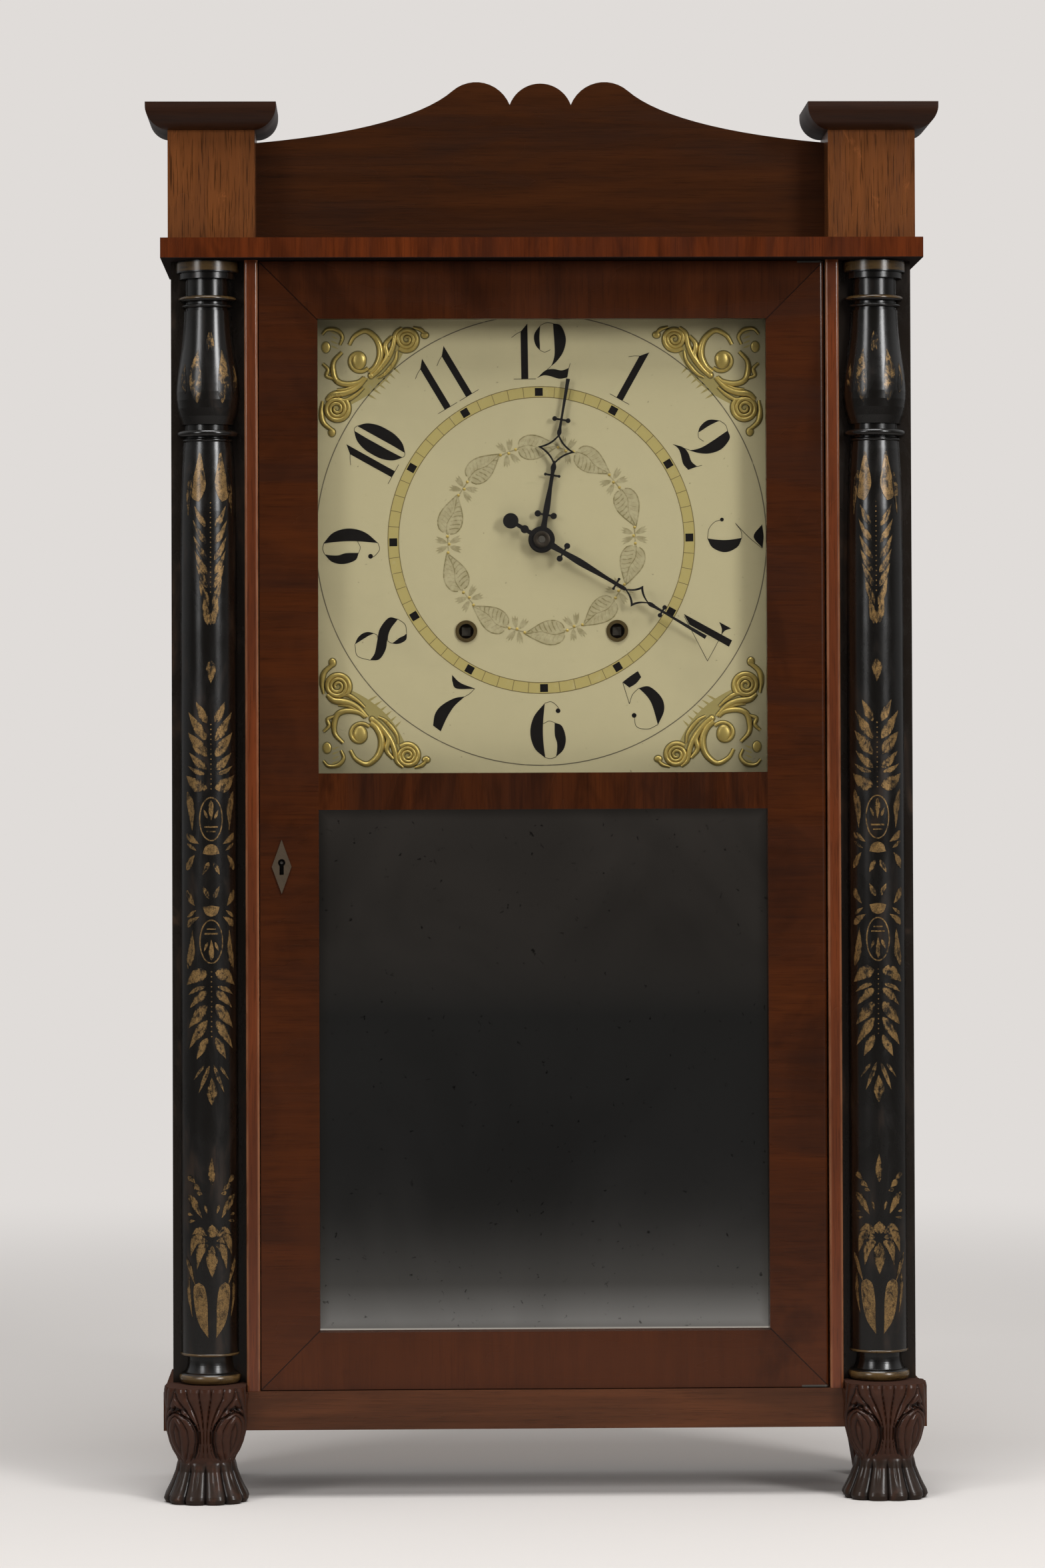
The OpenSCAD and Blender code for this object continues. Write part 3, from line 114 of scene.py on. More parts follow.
def amount(name, description, value, top):
    """A plain setting from nought upwards."""
    return bpy.props.FloatProperty(
        name=name, description=description, min=0.0, max=top, default=value)


class ClockWoods(bpy.types.PropertyGroup):
    """Colours of the clock's woods."""

    door: colour("Door", "Crossbanded veneer of the door's frame", 60, 27, 8)
    cornice: colour("Cornice", "Veneer of the cornice board", 78, 33, 10)
    slab: colour("Base slab", "Veneer of the base slab", 76, 42, 22)
    splat: colour("Splat", "Veneer of the splat and the caps", 50, 24, 7)
    chimney: colour("Chimneys", "Veneer of the chimney blocks", 101, 58, 28)
    strip: colour("Door strips", "Strips beside the door", 92, 44, 20)
    side: colour("Case", "Stained wood of the case sides and rear feet", 74, 40, 24)
    foot: colour("Feet", "Varnish of the carved feet", 60, 34, 22)
    pine: colour("Pine", "Bare wood inside and at the back", 150, 112, 72)
    wheel: colour("Wheels", "Turned wood of the wheels", 142, 92, 54)
    plate: colour("Plates", "Planed wood of the movement's plates", 138, 104, 66)


class ClockPaints(bpy.types.PropertyGroup):
    """Colours of the clock's paints."""

    black: colour("Black", "Glossy black of the columns", 13, 10, 7)
    board: colour("Column boards", "Rubbed black of the boards behind the columns", 34, 28, 23)
    bronze: colour("Bronze", "Bronze powder of the stencils", 136, 106, 62)
    dial: colour("Dial", "Cream paint of the dial", 205, 194, 151)
    ring: colour("Minute ring", "Gold paint of the minute ring", 190, 174, 108)
    line: colour("Ring lines", "Fine lines and minute marks", 120, 106, 66)
    circle: colour("Outer line", "Fine circle round the numerals", 112, 104, 82)
    gilt: colour("Gilt", "Raised gilt of the corners", 214, 188, 104)
    numeral: colour("Numerals", "Black of the numerals and hour marks", 17, 13, 11)


class ClockDialSizes(bpy.types.PropertyGroup):
    """Sizes of the dial's markings."""

    numeral_height: length("Numeral height", "Height of a numeral", 35)
    numeral_radius: length("Numeral radius", "From the middle to a numeral's middle", 119.4)
    ring_radius: length("Ring radius", "Middle of the minute ring", 93.6)
    ring_width: length("Ring width", "Width of the minute ring", 6.3)
    square: length("Hour mark", "Side of a square hour mark", 5.0)
    circle_radius: length("Outer line radius", "Radius of the fine outer circle", 142.4)
    wreath_radius: length("Wreath radius", "Middle line of the painted wreath", 58.8)
    turn: bpy.props.FloatProperty(
        name="Turn", description="How far the markings sit turned to the left",
        unit="ROTATION", default=math.radians(0.8))


class ClockStage(bpy.types.PropertyGroup):
    """Camera, lamps and ground."""

    ground: colour("Ground", "Colour of the floor", 231, 226, 222)
    background: colour("Background", "Colour behind the clock", 224, 220, 217)
    fill: amount("Fill", "Strength of the even light from the sides and from above", 0.47, 5)
    front: amount("Front", "Strength of the light from the room in front", 0.08, 5)
    key: amount("Right lamp", "Power of the lamp on the right, in watts", 40, 500)
    rim: amount("Left lamp", "Power of the lamp on the left, in watts", 18, 500)
    top: amount("Top lamp", "Power of the lamp above, in watts", 40, 500)
    lens: bpy.props.FloatProperty(name="Lens", description="Focal length of the camera",
                                  unit="CAMERA", default=110.2)
    place: bpy.props.FloatVectorProperty(name="Place", description="Place of the camera",
                                         unit="LENGTH", size=3, default=(-0.097, -3.05, 0.450))


# ---- Surfaces -------------------------------------------------------------------------


def grid_quads(rows, columns, wrap_rows=False):
    """Quads of a grid of points stored row after row; each row closes, and the columns if asked."""
    r = np.arange(rows if wrap_rows else rows - 1)[:, None]
    c = np.arange(columns)[None, :]
    s, d = (r + 1) % rows, (c + 1) % columns
    corners = [r * columns + c, r * columns + d, s * columns + d, s * columns + c]
    return np.stack(corners, -1).reshape(-1, 4)


def outward(points, quads, triangles, values):
    """Turns a closed shell's faces outwards: their cones to the origin add up to its volume."""
    a, b, c, d = (points[quads[:, k]] for k in range(4))
    volume = (a * (np.cross(b, c) + np.cross(c, d))).sum()
    if len(triangles):
        a, b, c = (points[triangles[:, k]] for k in range(3))
        volume += (a * np.cross(b, c)).sum()
    if volume < 0:
        quads, triangles = quads[:, ::-1], triangles[:, ::-1]
    return points, quads, triangles, values


def loft(rings, values=1.0):
    """Closed shell through rings of points; each end closes on the middle of its ring.

    The shade values may be one for all, one for each ring or one for each point.
    """
    n, m = rings.shape[:2]
    points = np.vstack([rings.reshape(-1, 3), rings[0].mean(0), rings[-1].mean(0)])
    j = np.arange(m)
    k = (j + 1) % m
    ends = np.vstack([
        np.stack([np.full(m, n * m), k, j], 1),
        np.stack([np.full(m, n * m + 1), (n - 1) * m + j, (n - 1) * m + k], 1)])
    v = np.broadcast_to(values[:, None] if np.ndim(values) == 1 else values, (n, m))
    return outward(points, grid_quads(n, m), ends,
                   np.append(v.ravel(), [v[0].mean(), v[-1].mean()]))


def hoop(rings):
    """Closed ring-shaped shell: sections of points that follow each other round and meet."""
    n, m = rings.shape[:2]
    return outward(rings.reshape(-1, 3), grid_quads(n, m, wrap_rows=True),
                   np.zeros((0, 3), int), np.ones(n * m))


def round_angles(count):
    """Angles of one turn in even steps, without its end."""
    return np.linspace(0, math.tau, count, endpoint=False)


def smooth(points, steps):
    """Catmull-Rom curve: between two points, the cubic with slopes from their neighbours."""
    p = np.asarray(points, float)
    p = np.vstack([2 * p[0] - p[1], p, 2 * p[-1] - p[-2]])
    t = np.linspace(0, len(p) - 3, steps + 1)
    i = np.minimum(t.astype(int), len(p) - 4)
    f = (t - i)[:, None]
    a, b, c, d = p[i], p[i + 1], p[i + 2], p[i + 3]
    return 0.5 * (2 * b + (c - a) * f + (2 * a - 5 * b + 4 * c - d) * f ** 2
                  + (3 * b - a - 3 * c + d) * f ** 3)


def square_to(path):
    """Unit vectors square to the run of a path, to its left."""
    run = np.gradient(path, axis=0)
    run /= np.linalg.norm(run, axis=1, keepdims=True) + 1e-12
    return np.stack([-run[:, 1], run[:, 0]], 1)


def edges_of(path, width):
    """Two edges of a stroke: the path moved to each side by half its width, square to its run."""
    side = square_to(path) * (np.asarray(width) / 2).reshape(-1, 1)
    return path + side, path - side


def even(values, count):
    """Values given at even steps of a path, as one for each of its points."""
    return np.interp(np.linspace(0, 1, count), np.linspace(0, 1, len(values)), values)


def blade(points, width, belly, steps):
    """Edges of a leaf, whose width follows half a sine wave, fullest where belly puts it."""
    t = np.linspace(0, 1, steps + 1)
    return edges_of(smooth(points, steps), width * np.sin(np.pi * t ** belly))


def oval(x, y, rx, ry, steps=20):
    """Edges of an oval: its left and right halves, both from the top down."""
    a = np.linspace(0, np.pi, steps + 1)
    half = np.stack([rx * np.sin(a), ry * np.cos(a)], 1)
    return half * (-1, 1) + (x, y), half + (x, y)


# Lift of a sheet's back, in millimetres: it lies inside what the sheet is painted on
SUNK = -0.05


def sheet(edges, place, front, back=SUNK, across=1, values=1.0):
    """Thin closed sheet between two edges, in millimetres, laid out by a place function."""
    s = np.linspace(0, 1, across + 1)[None, :, None]
    flat = edges[0][:, None] * (1 - s) + edges[1][:, None] * s
    top, under = (place(flat[..., 0], flat[..., 1], lift) for lift in (front, back))
    return loft(np.concatenate([top, under[:, ::-1]], 1), values)


def bead_line(path, radii, place):
    """Raised round stroke: an oval section of ten sides, lower than wide, carried along a path."""
    r = even(radii, len(path))[:, None]
    a = round_angles(10)
    side = square_to(path)
    x, y = (path[:, k:k + 1] + side[:, k:k + 1] * r * np.cos(a) for k in (0, 1))
    return loft(place(x, y, 0.8 * r * np.sin(a) + 0.1))


def dome(x, y, rx, ry, rise, place, rows=8, sides=24):
    """Low dome: half an oval section turned about its middle, with a skirt below the surface."""
    t = np.linspace(0.02, 1, rows)[:, None]
    a = round_angles(sides)[None, :]
    u, w = x + rx * t * np.cos(a), y + ry * t * np.sin(a)
    lift = rise * np.sqrt(1 - t ** 2) + 0 * a
    return loft(np.concatenate([place(u, w, lift), place(u[-1:], w[-1:], lift[-1:] - 0.2)]))


# Points that are nearer to each other than this, in metres, are made one, and slivers thinner
# than this are taken out; faces that meet at more than this angle meet at a sharp edge
WELD, SLIVER, SHARP = 2e-6, 1e-7, math.radians(40)


def piece(name, shells, body, material, replaces=(), smooth_faces=True):
    """One object of closed shells, riding on a body, with its finish."""
    starts = np.cumsum([0] + [len(s[0]) for s in shells])
    faces = []
    for start, (_, quads, triangles, _) in zip(starts, shells):
        faces += (quads + start).tolist() + (triangles + start).tolist()
    mesh = bpy.data.meshes.new(name)
    mesh.from_pydata(np.vstack([s[0] for s in shells]).tolist(), [], faces)
    mesh.attributes.new("shade", "FLOAT", "POINT").data.foreach_set(
        "value", np.concatenate([s[3] for s in shells]).astype(np.float32))
    work = bmesh.new()
    work.from_mesh(mesh)
    bmesh.ops.remove_doubles(work, verts=work.verts, dist=WELD)
    bmesh.ops.dissolve_degenerate(work, edges=work.edges, dist=SLIVER)
    work.to_mesh(mesh)
    work.free()
    if smooth_faces:
        mesh.polygons.foreach_set("use_smooth", np.ones(len(mesh.polygons), bool))
        mesh.set_sharp_from_angle(angle=SHARP)
    mesh.materials.append(material)
    made = bpy.data.objects.new(name, mesh)
    bpy.context.scene.collection.objects.link(made)
    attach(made, body)
    if replaces:
        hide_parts(*replaces)
    return made


# ---- Finishes -------------------------------------------------------------------------


class Value:
    """What a node gives. Reckoning with it adds nodes to its tree."""

    def __init__(self, nodes, socket):
        self.nodes, self.socket = nodes, socket

    def __add__(self, other):
        return self.nodes.math("ADD", self, other)

    def __sub__(self, other):
        return self.nodes.math("SUBTRACT", self, other)

    def __rsub__(self, other):
        return self.nodes.math("SUBTRACT", other, self)

    def __mul__(self, other):
        return self.nodes.math("MULTIPLY", self, other)

    def __truediv__(self, other):
        return self.nodes.math("DIVIDE", self, other)

    def __gt__(self, other):
        return self.nodes.math("GREATER_THAN", self, other)

    def __lt__(self, other):
        return self.nodes.math("LESS_THAN", self, other)

    def __abs__(self):
        return self.nodes.math("ABSOLUTE", self)


class Nodes:
    """A node tree under way, with short ways to add nodes to it."""

    def __init__(self, tree):
        self.tree = tree
        self.places = {}

    def join(self, socket, value):
        """Links a value that another node gives, or sets a plain one."""
        if isinstance(value, Value):
            self.tree.links.new(value.socket, socket)
        elif socket.type == "RGBA":
            socket.default_value = (*value, 1)
        else:
            socket.default_value = value

    def node(self, kind, inputs=(), **settings):
        """A new node; its inputs are given in their order, or by name or number."""
        made = self.tree.nodes.new("ShaderNode" + kind)
        for key, value in settings.items():
            setattr(made, key, value)
        for key, value in inputs.items() if isinstance(inputs, dict) else enumerate(inputs):
            self.join(made.inputs[key], value)
        return made

    def value(self, kind, inputs=(), output=0, **settings):
        """What a new node gives."""
        return Value(self, self.node(kind, inputs, **settings).outputs[output])

    def split(self, vector):
        """The three parts of a vector."""
        return [Value(self, part) for part in self.node("SeparateXYZ", [vector]).outputs]

    def place(self, stretch=1, shift=(0, 0, 0)):
        """Object coordinates, stretched by one number or three, and shifted."""
        scale = (stretch,) * 3 if isinstance(stretch, int) else stretch
        if (scale, shift) not in self.places:
            self.places[scale, shift] = self.value("Mapping", {
                "Vector": self.value("TexCoord", output="Object"), "Scale": scale,
                "Location": shift})
        return self.places[scale, shift]

    def axes(self):
        """The three Object coordinates, in metres."""
        if "axes" not in self.places:
            self.places["axes"] = self.split(self.place())
        return self.places["axes"]

    def noise(self, stretch, detail, rough, bend=0.0, shift=(0, 0, 0)):
        """Cloudy noise over stretched Object coordinates."""
        return self.value("TexNoise", {
            "Vector": self.place(stretch, shift), "Scale": 1.0, "Detail": detail,
            "Roughness": rough, "Distortion": bend}, "Fac")

    def math(self, operation, *values):
        """The result of a Math node."""
        return self.value("Math", values, operation=operation)

    def distance(self, a, b):
        """How far away something is that lies a along one axis and b along another."""
        return self.math("SQRT", a * a + b * b)

    def spread(self, value, low, high, to_low=0.0, to_high=1.0):
        """A value from one range carried to another, smoothly and within it."""
        return self.value("MapRange", (value, low, high, to_low, to_high),
                          interpolation_type="SMOOTHSTEP")

    def drift(self, cloud, low, high):
        """A number that drifts from low to high with a cloud."""
        return self.spread(cloud, 0.3, 0.7, low, high)

    def ramp(self, value, *stops):
        """A colour picked along a row of colours."""
        made = self.node("ValToRGB", [value])
        row = made.color_ramp.elements
        while len(row) < len(stops):
            row.new(0.5)
        for element, (position, tone) in zip(row, stops):
            element.position, element.color = position, (*tone, 1)
        return Value(self, made.outputs[0])

    def mix(self, share, first, second):
        """The first colour with a share of the second over it."""
        return self.value("Mix", {0: share, 6: first, 7: second}, 2, data_type="RGBA")

    def over(self, body, tone, *spread):
        """A colour with a tone over it, by a share that the spread gives."""
        return self.mix(self.spread(*spread), body, tone)


class Finish(Nodes):
    """A material under way, with its shader."""

    def __init__(self, name, **plain):
        self.material = bpy.data.materials.new(name)
        self.material.use_nodes = True
        super().__init__(self.material.node_tree)
        self.shader = self.tree.nodes["Principled BSDF"]
        for socket, value in plain.items():
            self.join(self.shader.inputs[socket.replace("_", " ")], value)

    def shade(self):
        """The shade values of the piece."""
        return self.value("Attribute", output="Fac", attribute_name="shade")

    def done(self, tone, rough, height=None, depth=0.0, strength=1.0):
        """The material, with its colour, its roughness and bumps of a depth in metres."""
        self.join(self.shader.inputs["Base Color"], tone)
        self.join(self.shader.inputs["Roughness"], rough)
        if height is not None:
            self.join(self.shader.inputs["Normal"], self.value(
                "Bump", {"Height": height, "Distance": depth, "Strength": strength}))
        return self.material


VARNISH = {"Coat_Roughness": 0.10, "Specular_IOR_Level": 0.22}


def times(tone, factor):
    """A colour made darker or lighter."""
    return tuple(min(1.0, v * factor) for v in tone)


def along(grain, across, run):
    """Stretch of a grain: fine across it and long along it."""
    return tuple(run if axis == grain else across for axis in "xyz")


def grain_tone(finish, tone, grain, contrast, shift, pore=0.3):
    """Wood colour: fine lines and broad clouds drawn out along the grain, then dark pores."""
    lines = finish.noise(along(grain, 230, 6), 6, 0.65, 0.5, shift)
    clouds = finish.noise(along(grain, 26, 5), 3, 0.5, 1.2, shift)
    pores = finish.noise(along(grain, 1500, 50), 2, 0.5, 0.0, shift)
    body = finish.ramp(lines * 0.42 + clouds * 0.58, (0.32, times(tone, 1 - 0.75 * contrast)),
                       (0.49, tone), (0.66, times(tone, 1 + 1.1 * contrast)))
    return finish.over(body, times(tone, 0.25), pores, 0.34, 0.46, pore, 0.0), clouds, pores


def bare_wood(finish, bare, polish, rough, coat):
    """Roughness of a piece that is rough and has lost its coat where it is bare."""
    finish.join(finish.shader.inputs["Coat Weight"], coat - bare * coat)
    return finish.math("MAXIMUM", polish, bare * rough)


def wood(name, tone, grain, contrast=0.5, coat=0.3, shift=(0, 0, 0), scuffs=0.0, rough=0.27,
         dull=None, tip=None, pore=0.3):
    """Varnished wood with its grain along one axis, and scuffs where the varnish has worn.

    Above the height called dull the varnish is gone. In front of the place called tip the
    piece is a steel arbor's end.
    """
    finish = Finish(name, Coat_Weight=coat, **VARNISH)
    body, clouds, pores = grain_tone(finish, tone, grain, contrast, shift, pore)
    _, y, z = finish.axes()
    if scuffs:
        worn = finish.noise((60, 60, 34), 5, 0.7, 0.6, (shift[0] + 3, 0, 1))
        body = finish.over(body, times(tone, 2.3), worn, 0.60, 0.70, 0.0, scuffs)
    if tip is not None:
        body = finish.mix(y < tip, body, display(84, 80, 72))
    polish = finish.drift(clouds, rough + 0.05, rough - 0.05)
    if dull is not None:
        polish = bare_wood(finish, z > dull, polish, 0.9, coat)
    return finish.done(body, polish, pores, 0.00012, 0.6)


def strip_veneer(name, tone):
    """Red-brown strip with a painted highlight along its rounded edges."""
    finish = Finish(name, Coat_Weight=0.8, Coat_Roughness=0.12, Specular_IOR_Level=0.25)
    body, clouds, pores = grain_tone(finish, tone, "z", 0.5, (4, 0, 0), 0.4)
    low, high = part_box("door_strip_right")
    middle, half = (low.x + high.x) / 2, (high.x - low.x) / 2
    # Painted highlight: near both rounded edges the colour turns pale pink, in patches, as if the
    # edges reflected the lamps
    painted_edge_highlight = finish.spread(abs(abs(finish.axes()[0]) - middle), half * 0.55, half * 0.95)
    patch = finish.spread(finish.noise((120, 120, 26), 4, 0.65), 0.3, 0.6, 0.25, 0.8)
    body = finish.mix(painted_edge_highlight * patch, body, display(158, 106, 74))
    return finish.done(body, finish.drift(clouds, 0.34, 0.24), pores, 0.0001, 0.5)


def door_veneer(name, tone):
    """Veneer laid across each member of the door, with mitred joints at the corners.

    Its grain lies level where the nearer edge of the door is an upright one, and upright
    elsewhere. A dark line marks the joint, where the distances to both edges are equal.
    """
    finish = Finish(name, Coat_Weight=0.3, **VARNISH)
    x, _, z = finish.axes()
    side = (DOOR_HIGH.x - DOOR_LOW.x) / 2 - abs(x - (DOOR_LOW.x + DOOR_HIGH.x) / 2)
    end = finish.math("MINIMUM", z - DOOR_LOW.z, DOOR_HIGH.z - z)
    apart = side - end
    level, clouds, pores = grain_tone(finish, tone, "x", 0.45, (0, 0, 0))
    upright, _, _ = grain_tone(finish, tone, "z", 0.45, (5, 0, 2))
    body = finish.mix(apart > 0.0, level, upright)
    body = finish.over(body, times(tone, 2.4), z, DOOR_LOW.z + 0.01, DOOR_LOW.z + 0.09, 0.3, 0.0)
    patch = finish.noise((13, 13, 9), 4, 0.6, 0.8, (4, 2, 0))
    body = finish.over(body, times(tone, 0.4), patch, 0.50, 0.68, 0.0, 0.55)
    body = finish.over(body, times(tone, 1.7), patch, 0.30, 0.46, 0.3, 0.0)
    body = finish.over(body, times(tone, 0.2), abs(apart), 0.0002, 0.0008, 0.9, 0.0)
    return finish.done(body, finish.drift(clouds, 0.32, 0.22), pores, 0.0001, 0.5)


def streaked_veneer(name, tone, dark, shift=(0, 0, 0), foot=None):
    """Upright figure of dark streaks on red-brown veneer; below foot painted shade, unvarnished."""
    finish = Finish(name, Coat_Weight=0.3, **VARNISH)
    body, clouds, pores = grain_tone(finish, tone, "z", 0.55, shift)
    streak = finish.noise((34, 34, 7), 4, 0.6, 1.6, (shift[0] + 9, 0, 0))
    body = finish.over(body, times(tone, 0.3), streak, 0.46, 0.64, 0.0, dark)
    polish = finish.drift(clouds, 0.32, 0.22)
    if foot is not None:
        # Painted shade: below foot the colour is made near black, and the varnish is taken off
        # there too
        bare = finish.axes()[2] < foot
        body = finish.mix(bare, body, times(tone, 0.12))
        polish = bare_wood(finish, bare, polish, 0.8, 0.3)
    return finish.done(body, polish, pores, 0.0001, 0.5)


def black_gloss(name, tone, bronze, bands=(), rub=0.3, coat=0.7):
    """Old black paint under varnish, worn brown in places, with bronze bands at given heights."""
    finish = Finish(name, Coat_Weight=coat, Coat_Roughness=0.22, Specular_IOR_Level=0.3)
    worn = finish.noise((55, 55, 18), 5, 0.65, 0.5)
    body = finish.over(tone, display(74, 52, 34), worn, 0.52, 0.74, 0.0, rub)
    for height, half, share in bands:
        off = abs(finish.axes()[2] - height)
        patch = finish.spread(finish.noise((90, 90, 400), 3, 0.6), 0.30, 0.52, 0.35, 1.0)
        body = finish.mix(finish.spread(off, half * 0.8, half, share, 0.0) * patch, body, bronze)
    return finish.done(body, finish.spread(worn, 0.35, 0.7, 0.20, 0.42),
                       finish.noise(420, 3, 0.6), 0.00006, 0.5)


def bronze_powder(name, bronze, black):
    """Bronze powder on black: the sheet's shade values say how thick it lies."""
    finish = Finish(name, Metallic=0.55, Coat_Weight=0.5, Coat_Roughness=0.2)
    grit = finish.noise(1300, 3, 0.75)
    wear = finish.noise((230, 230, 150), 5, 0.75, 0.5)
    left = finish.shade() + (wear - 0.5) * 2.6
    cover = finish.spread(left, 0.25, 0.75) * finish.spread(grit, 0.32, 0.60, 0.3, 1.0)
    powder = finish.over(times(bronze, 0.7), times(bronze, 1.4), wear, 0.35, 0.65)
    return finish.done(finish.mix(cover, black, powder), finish.drift(grit, 0.34, 0.55))


def flat_paint(name, tone, wear, scale, worn=None, coat=0.15):
    """Thin paint with small flaws where the ground shows."""
    finish = Finish(name, Coat_Weight=coat, Coat_Roughness=0.3, Specular_IOR_Level=0.2)
    cloud = finish.noise(scale, 5, 0.7, 0.3)
    ground = times(tone, 1.8) if worn is None else worn
    return finish.done(finish.over(tone, ground, cloud, 0.56, 0.72, 0.0, wear),
                       finish.drift(cloud, 0.44, 0.58), cloud, 0.00005, 0.4)


def dial_paint(name, tone, pine, circle):
    """Aged cream paint on the board's face, with stains and specks; the rest of the board is bare.

    Beyond the outer circle it darkens towards the corners: painted shade of the door's frame.
    """
    finish = Finish(name, Coat_Weight=0.2, Coat_Roughness=0.3, Specular_IOR_Level=0.35)
    x, y, z = finish.axes()
    stain = finish.noise(11, 4, 0.6, 0.6)
    speck = finish.noise(420, 2, 0.5)
    hair = finish.noise((90, 90, 420), 5, 0.7, 0.4)
    far = finish.distance(x - DIAL_X, z - DIAL_Z)
    # Painted shade: darker with distance beyond the outer circle, towards the corners that the
    # door's frame shades
    body = finish.over(tone, times(tone, 0.5), far, circle, circle + 0.05, 0.0, 0.9)
    body = finish.over(body, times(tone, 0.80), stain, 0.45, 0.75, 0.0, 0.35)
    body = finish.over(body, times(tone, 0.7), hair, 0.58, 0.72, 0.0, 0.22)
    body = finish.over(body, display(96, 84, 60), speck, 0.70, 0.78, 0.0, 0.55)
    behind_paint = y > DIAL_FRONT + 0.0004
    return finish.done(finish.mix(behind_paint, body, pine),
                       finish.drift(stain, 0.38, 0.52), hair, 0.00006, 0.5)


def wreath_paint(name, dial, ring):
    """Faded gold paint, thinner where the shade values are low."""
    finish = Finish(name, Coat_Weight=0.1, Coat_Roughness=0.3)
    cloud = finish.noise(260, 4, 0.7, 0.3)
    gold = finish.mix(0.9, times(dial, 0.42), times(ring, 0.45))
    cover = finish.shade() * finish.spread(cloud, 0.34, 0.68, 1.0, 0.4)
    return finish.done(finish.mix(cover, dial, gold), finish.drift(cloud, 0.4, 0.55))


def carved_varnish(name, tone, neck, top):
    """Foot varnish: painted shade in the valleys, brown below the neck, gone from the flat top."""
    finish = Finish(name, Coat_Roughness=0.12, Specular_IOR_Level=0.2)
    worn = finish.noise(70, 5, 0.65, 0.4)
    z = finish.axes()[2]
    toes = finish.mix(0.8, tone, display(38, 31, 25))
    body = finish.over(toes, tone, z, neck - 0.004, neck + 0.002)
    body = finish.over(body, times(tone, 1.9), worn, 0.52, 0.74, 0.0, 0.5)
    # Painted shade: where the shade values are low, in the carved valleys, the colour is made near
    # black
    body = finish.over(body, display(14, 9, 8), finish.shade(), 0.15, 0.8, 0.8, 0.0)
    polish = bare_wood(finish, z > top, finish.drift(worn, 0.28, 0.45), 0.95, 0.25)
    return finish.done(body, polish, finish.noise((420, 420, 240), 4, 0.65), 0.00015, 0.6)


def metal(name, tone, rough, spread=0.12, tarnish=0.4, grain=300, metallic=1.0):
    """Metal with cloudy tarnish and uneven polish."""
    finish = Finish(name, Metallic=metallic)
    cloud = finish.noise(45, 5, 0.65, 0.5)
    return finish.done(finish.over(tone, times(tone, 0.45), cloud, 0.40, 0.72, 0.0, tarnish),
                       finish.spread(cloud, 0.3, 0.75, rough, rough + spread),
                       finish.noise(grain, 3, 0.6), 0.00005, 0.5)


def pane(name):
    """Old window glass, nearly clear, with faint waves."""
    finish = Finish(name, Alpha=0.08, Specular_IOR_Level=0.4)
    wave = finish.noise((16, 16, 5), 2, 0.5, 0.8)
    return finish.done(display(36, 34, 29), finish.drift(wave, 0.03, 0.07),
                       wave, 0.0002, 0.3)


def mirror_tarnish_and_painted_reflection(name):
    """Old silvered glass with a painted reflection of a dim room, pale at its foot and clear
    towards its top.

    It has a tarnished edge, small spots and a painted highlight, the bright line of its bevel
    over the bottom rail.
    """
    finish = Finish(name, Metallic=1.0)
    x, _, z = finish.axes()
    low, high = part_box("mirror_glass")
    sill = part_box("rail_bottom")[1].z
    end = finish.math("MINIMUM", z - low.z, high.z - z)
    edge = finish.math("MINIMUM", (high.x - low.x) / 2 - abs(x), end)
    cloud = finish.noise((9, 9, 6), 3, 0.5, 0.8)
    spots = finish.noise(260, 3, 0.6, 0.5)
    # Painted reflection: pale at the foot, dim grey in the middle and bright at the top
    body = finish.ramp((z - low.z) / (high.z - low.z), (0.0, display(200, 200, 198)),
                       (0.10, display(124, 123, 120)), (0.35, display(112, 112, 111)),
                       (0.6, display(118, 118, 116)), (1.0, display(236, 222, 208)))
    body = finish.over(body, display(60, 60, 58), cloud, 0.3, 0.7, 0.25, 0.0)
    body = finish.over(body, display(22, 20, 18), spots, 0.66, 0.74, 0.0, 0.7)
    body = finish.over(body, display(96, 92, 84), edge, 0.004, 0.012, 0.45, 0.0)
    # Painted highlight: a bright line just above the bottom rail, where the bevel catches the light
    body = finish.over(body, display(255, 250, 240), z, sill + 0.0012, sill + 0.0022, 0.85, 0.0)
    return finish.done(body, finish.drift(cloud, 0.05, 0.11), cloud, 0.0004, 0.15)


def twisted_cord(name):
    """Flax cord: slanted strands and loose fibres."""
    finish = Finish(name, Sheen_Weight=0.3)
    fibre = finish.noise((900, 900, 160), 4, 0.7, 0.6)
    body = finish.ramp(fibre, (0.3, display(96, 78, 50)), (0.7, display(170, 148, 108)))
    return finish.done(body, 0.85, fibre, 0.0002, 0.8)


def dress(material, *nodes):
    """Gives CAD nodes a finish; a node's mesh stays as model.glb gives it."""
    for name in nodes:
        for slot in frame["nodes"][name].material_slots:
            slot.material = material


# ---- Case, door and movement ----------------------------------------------------------


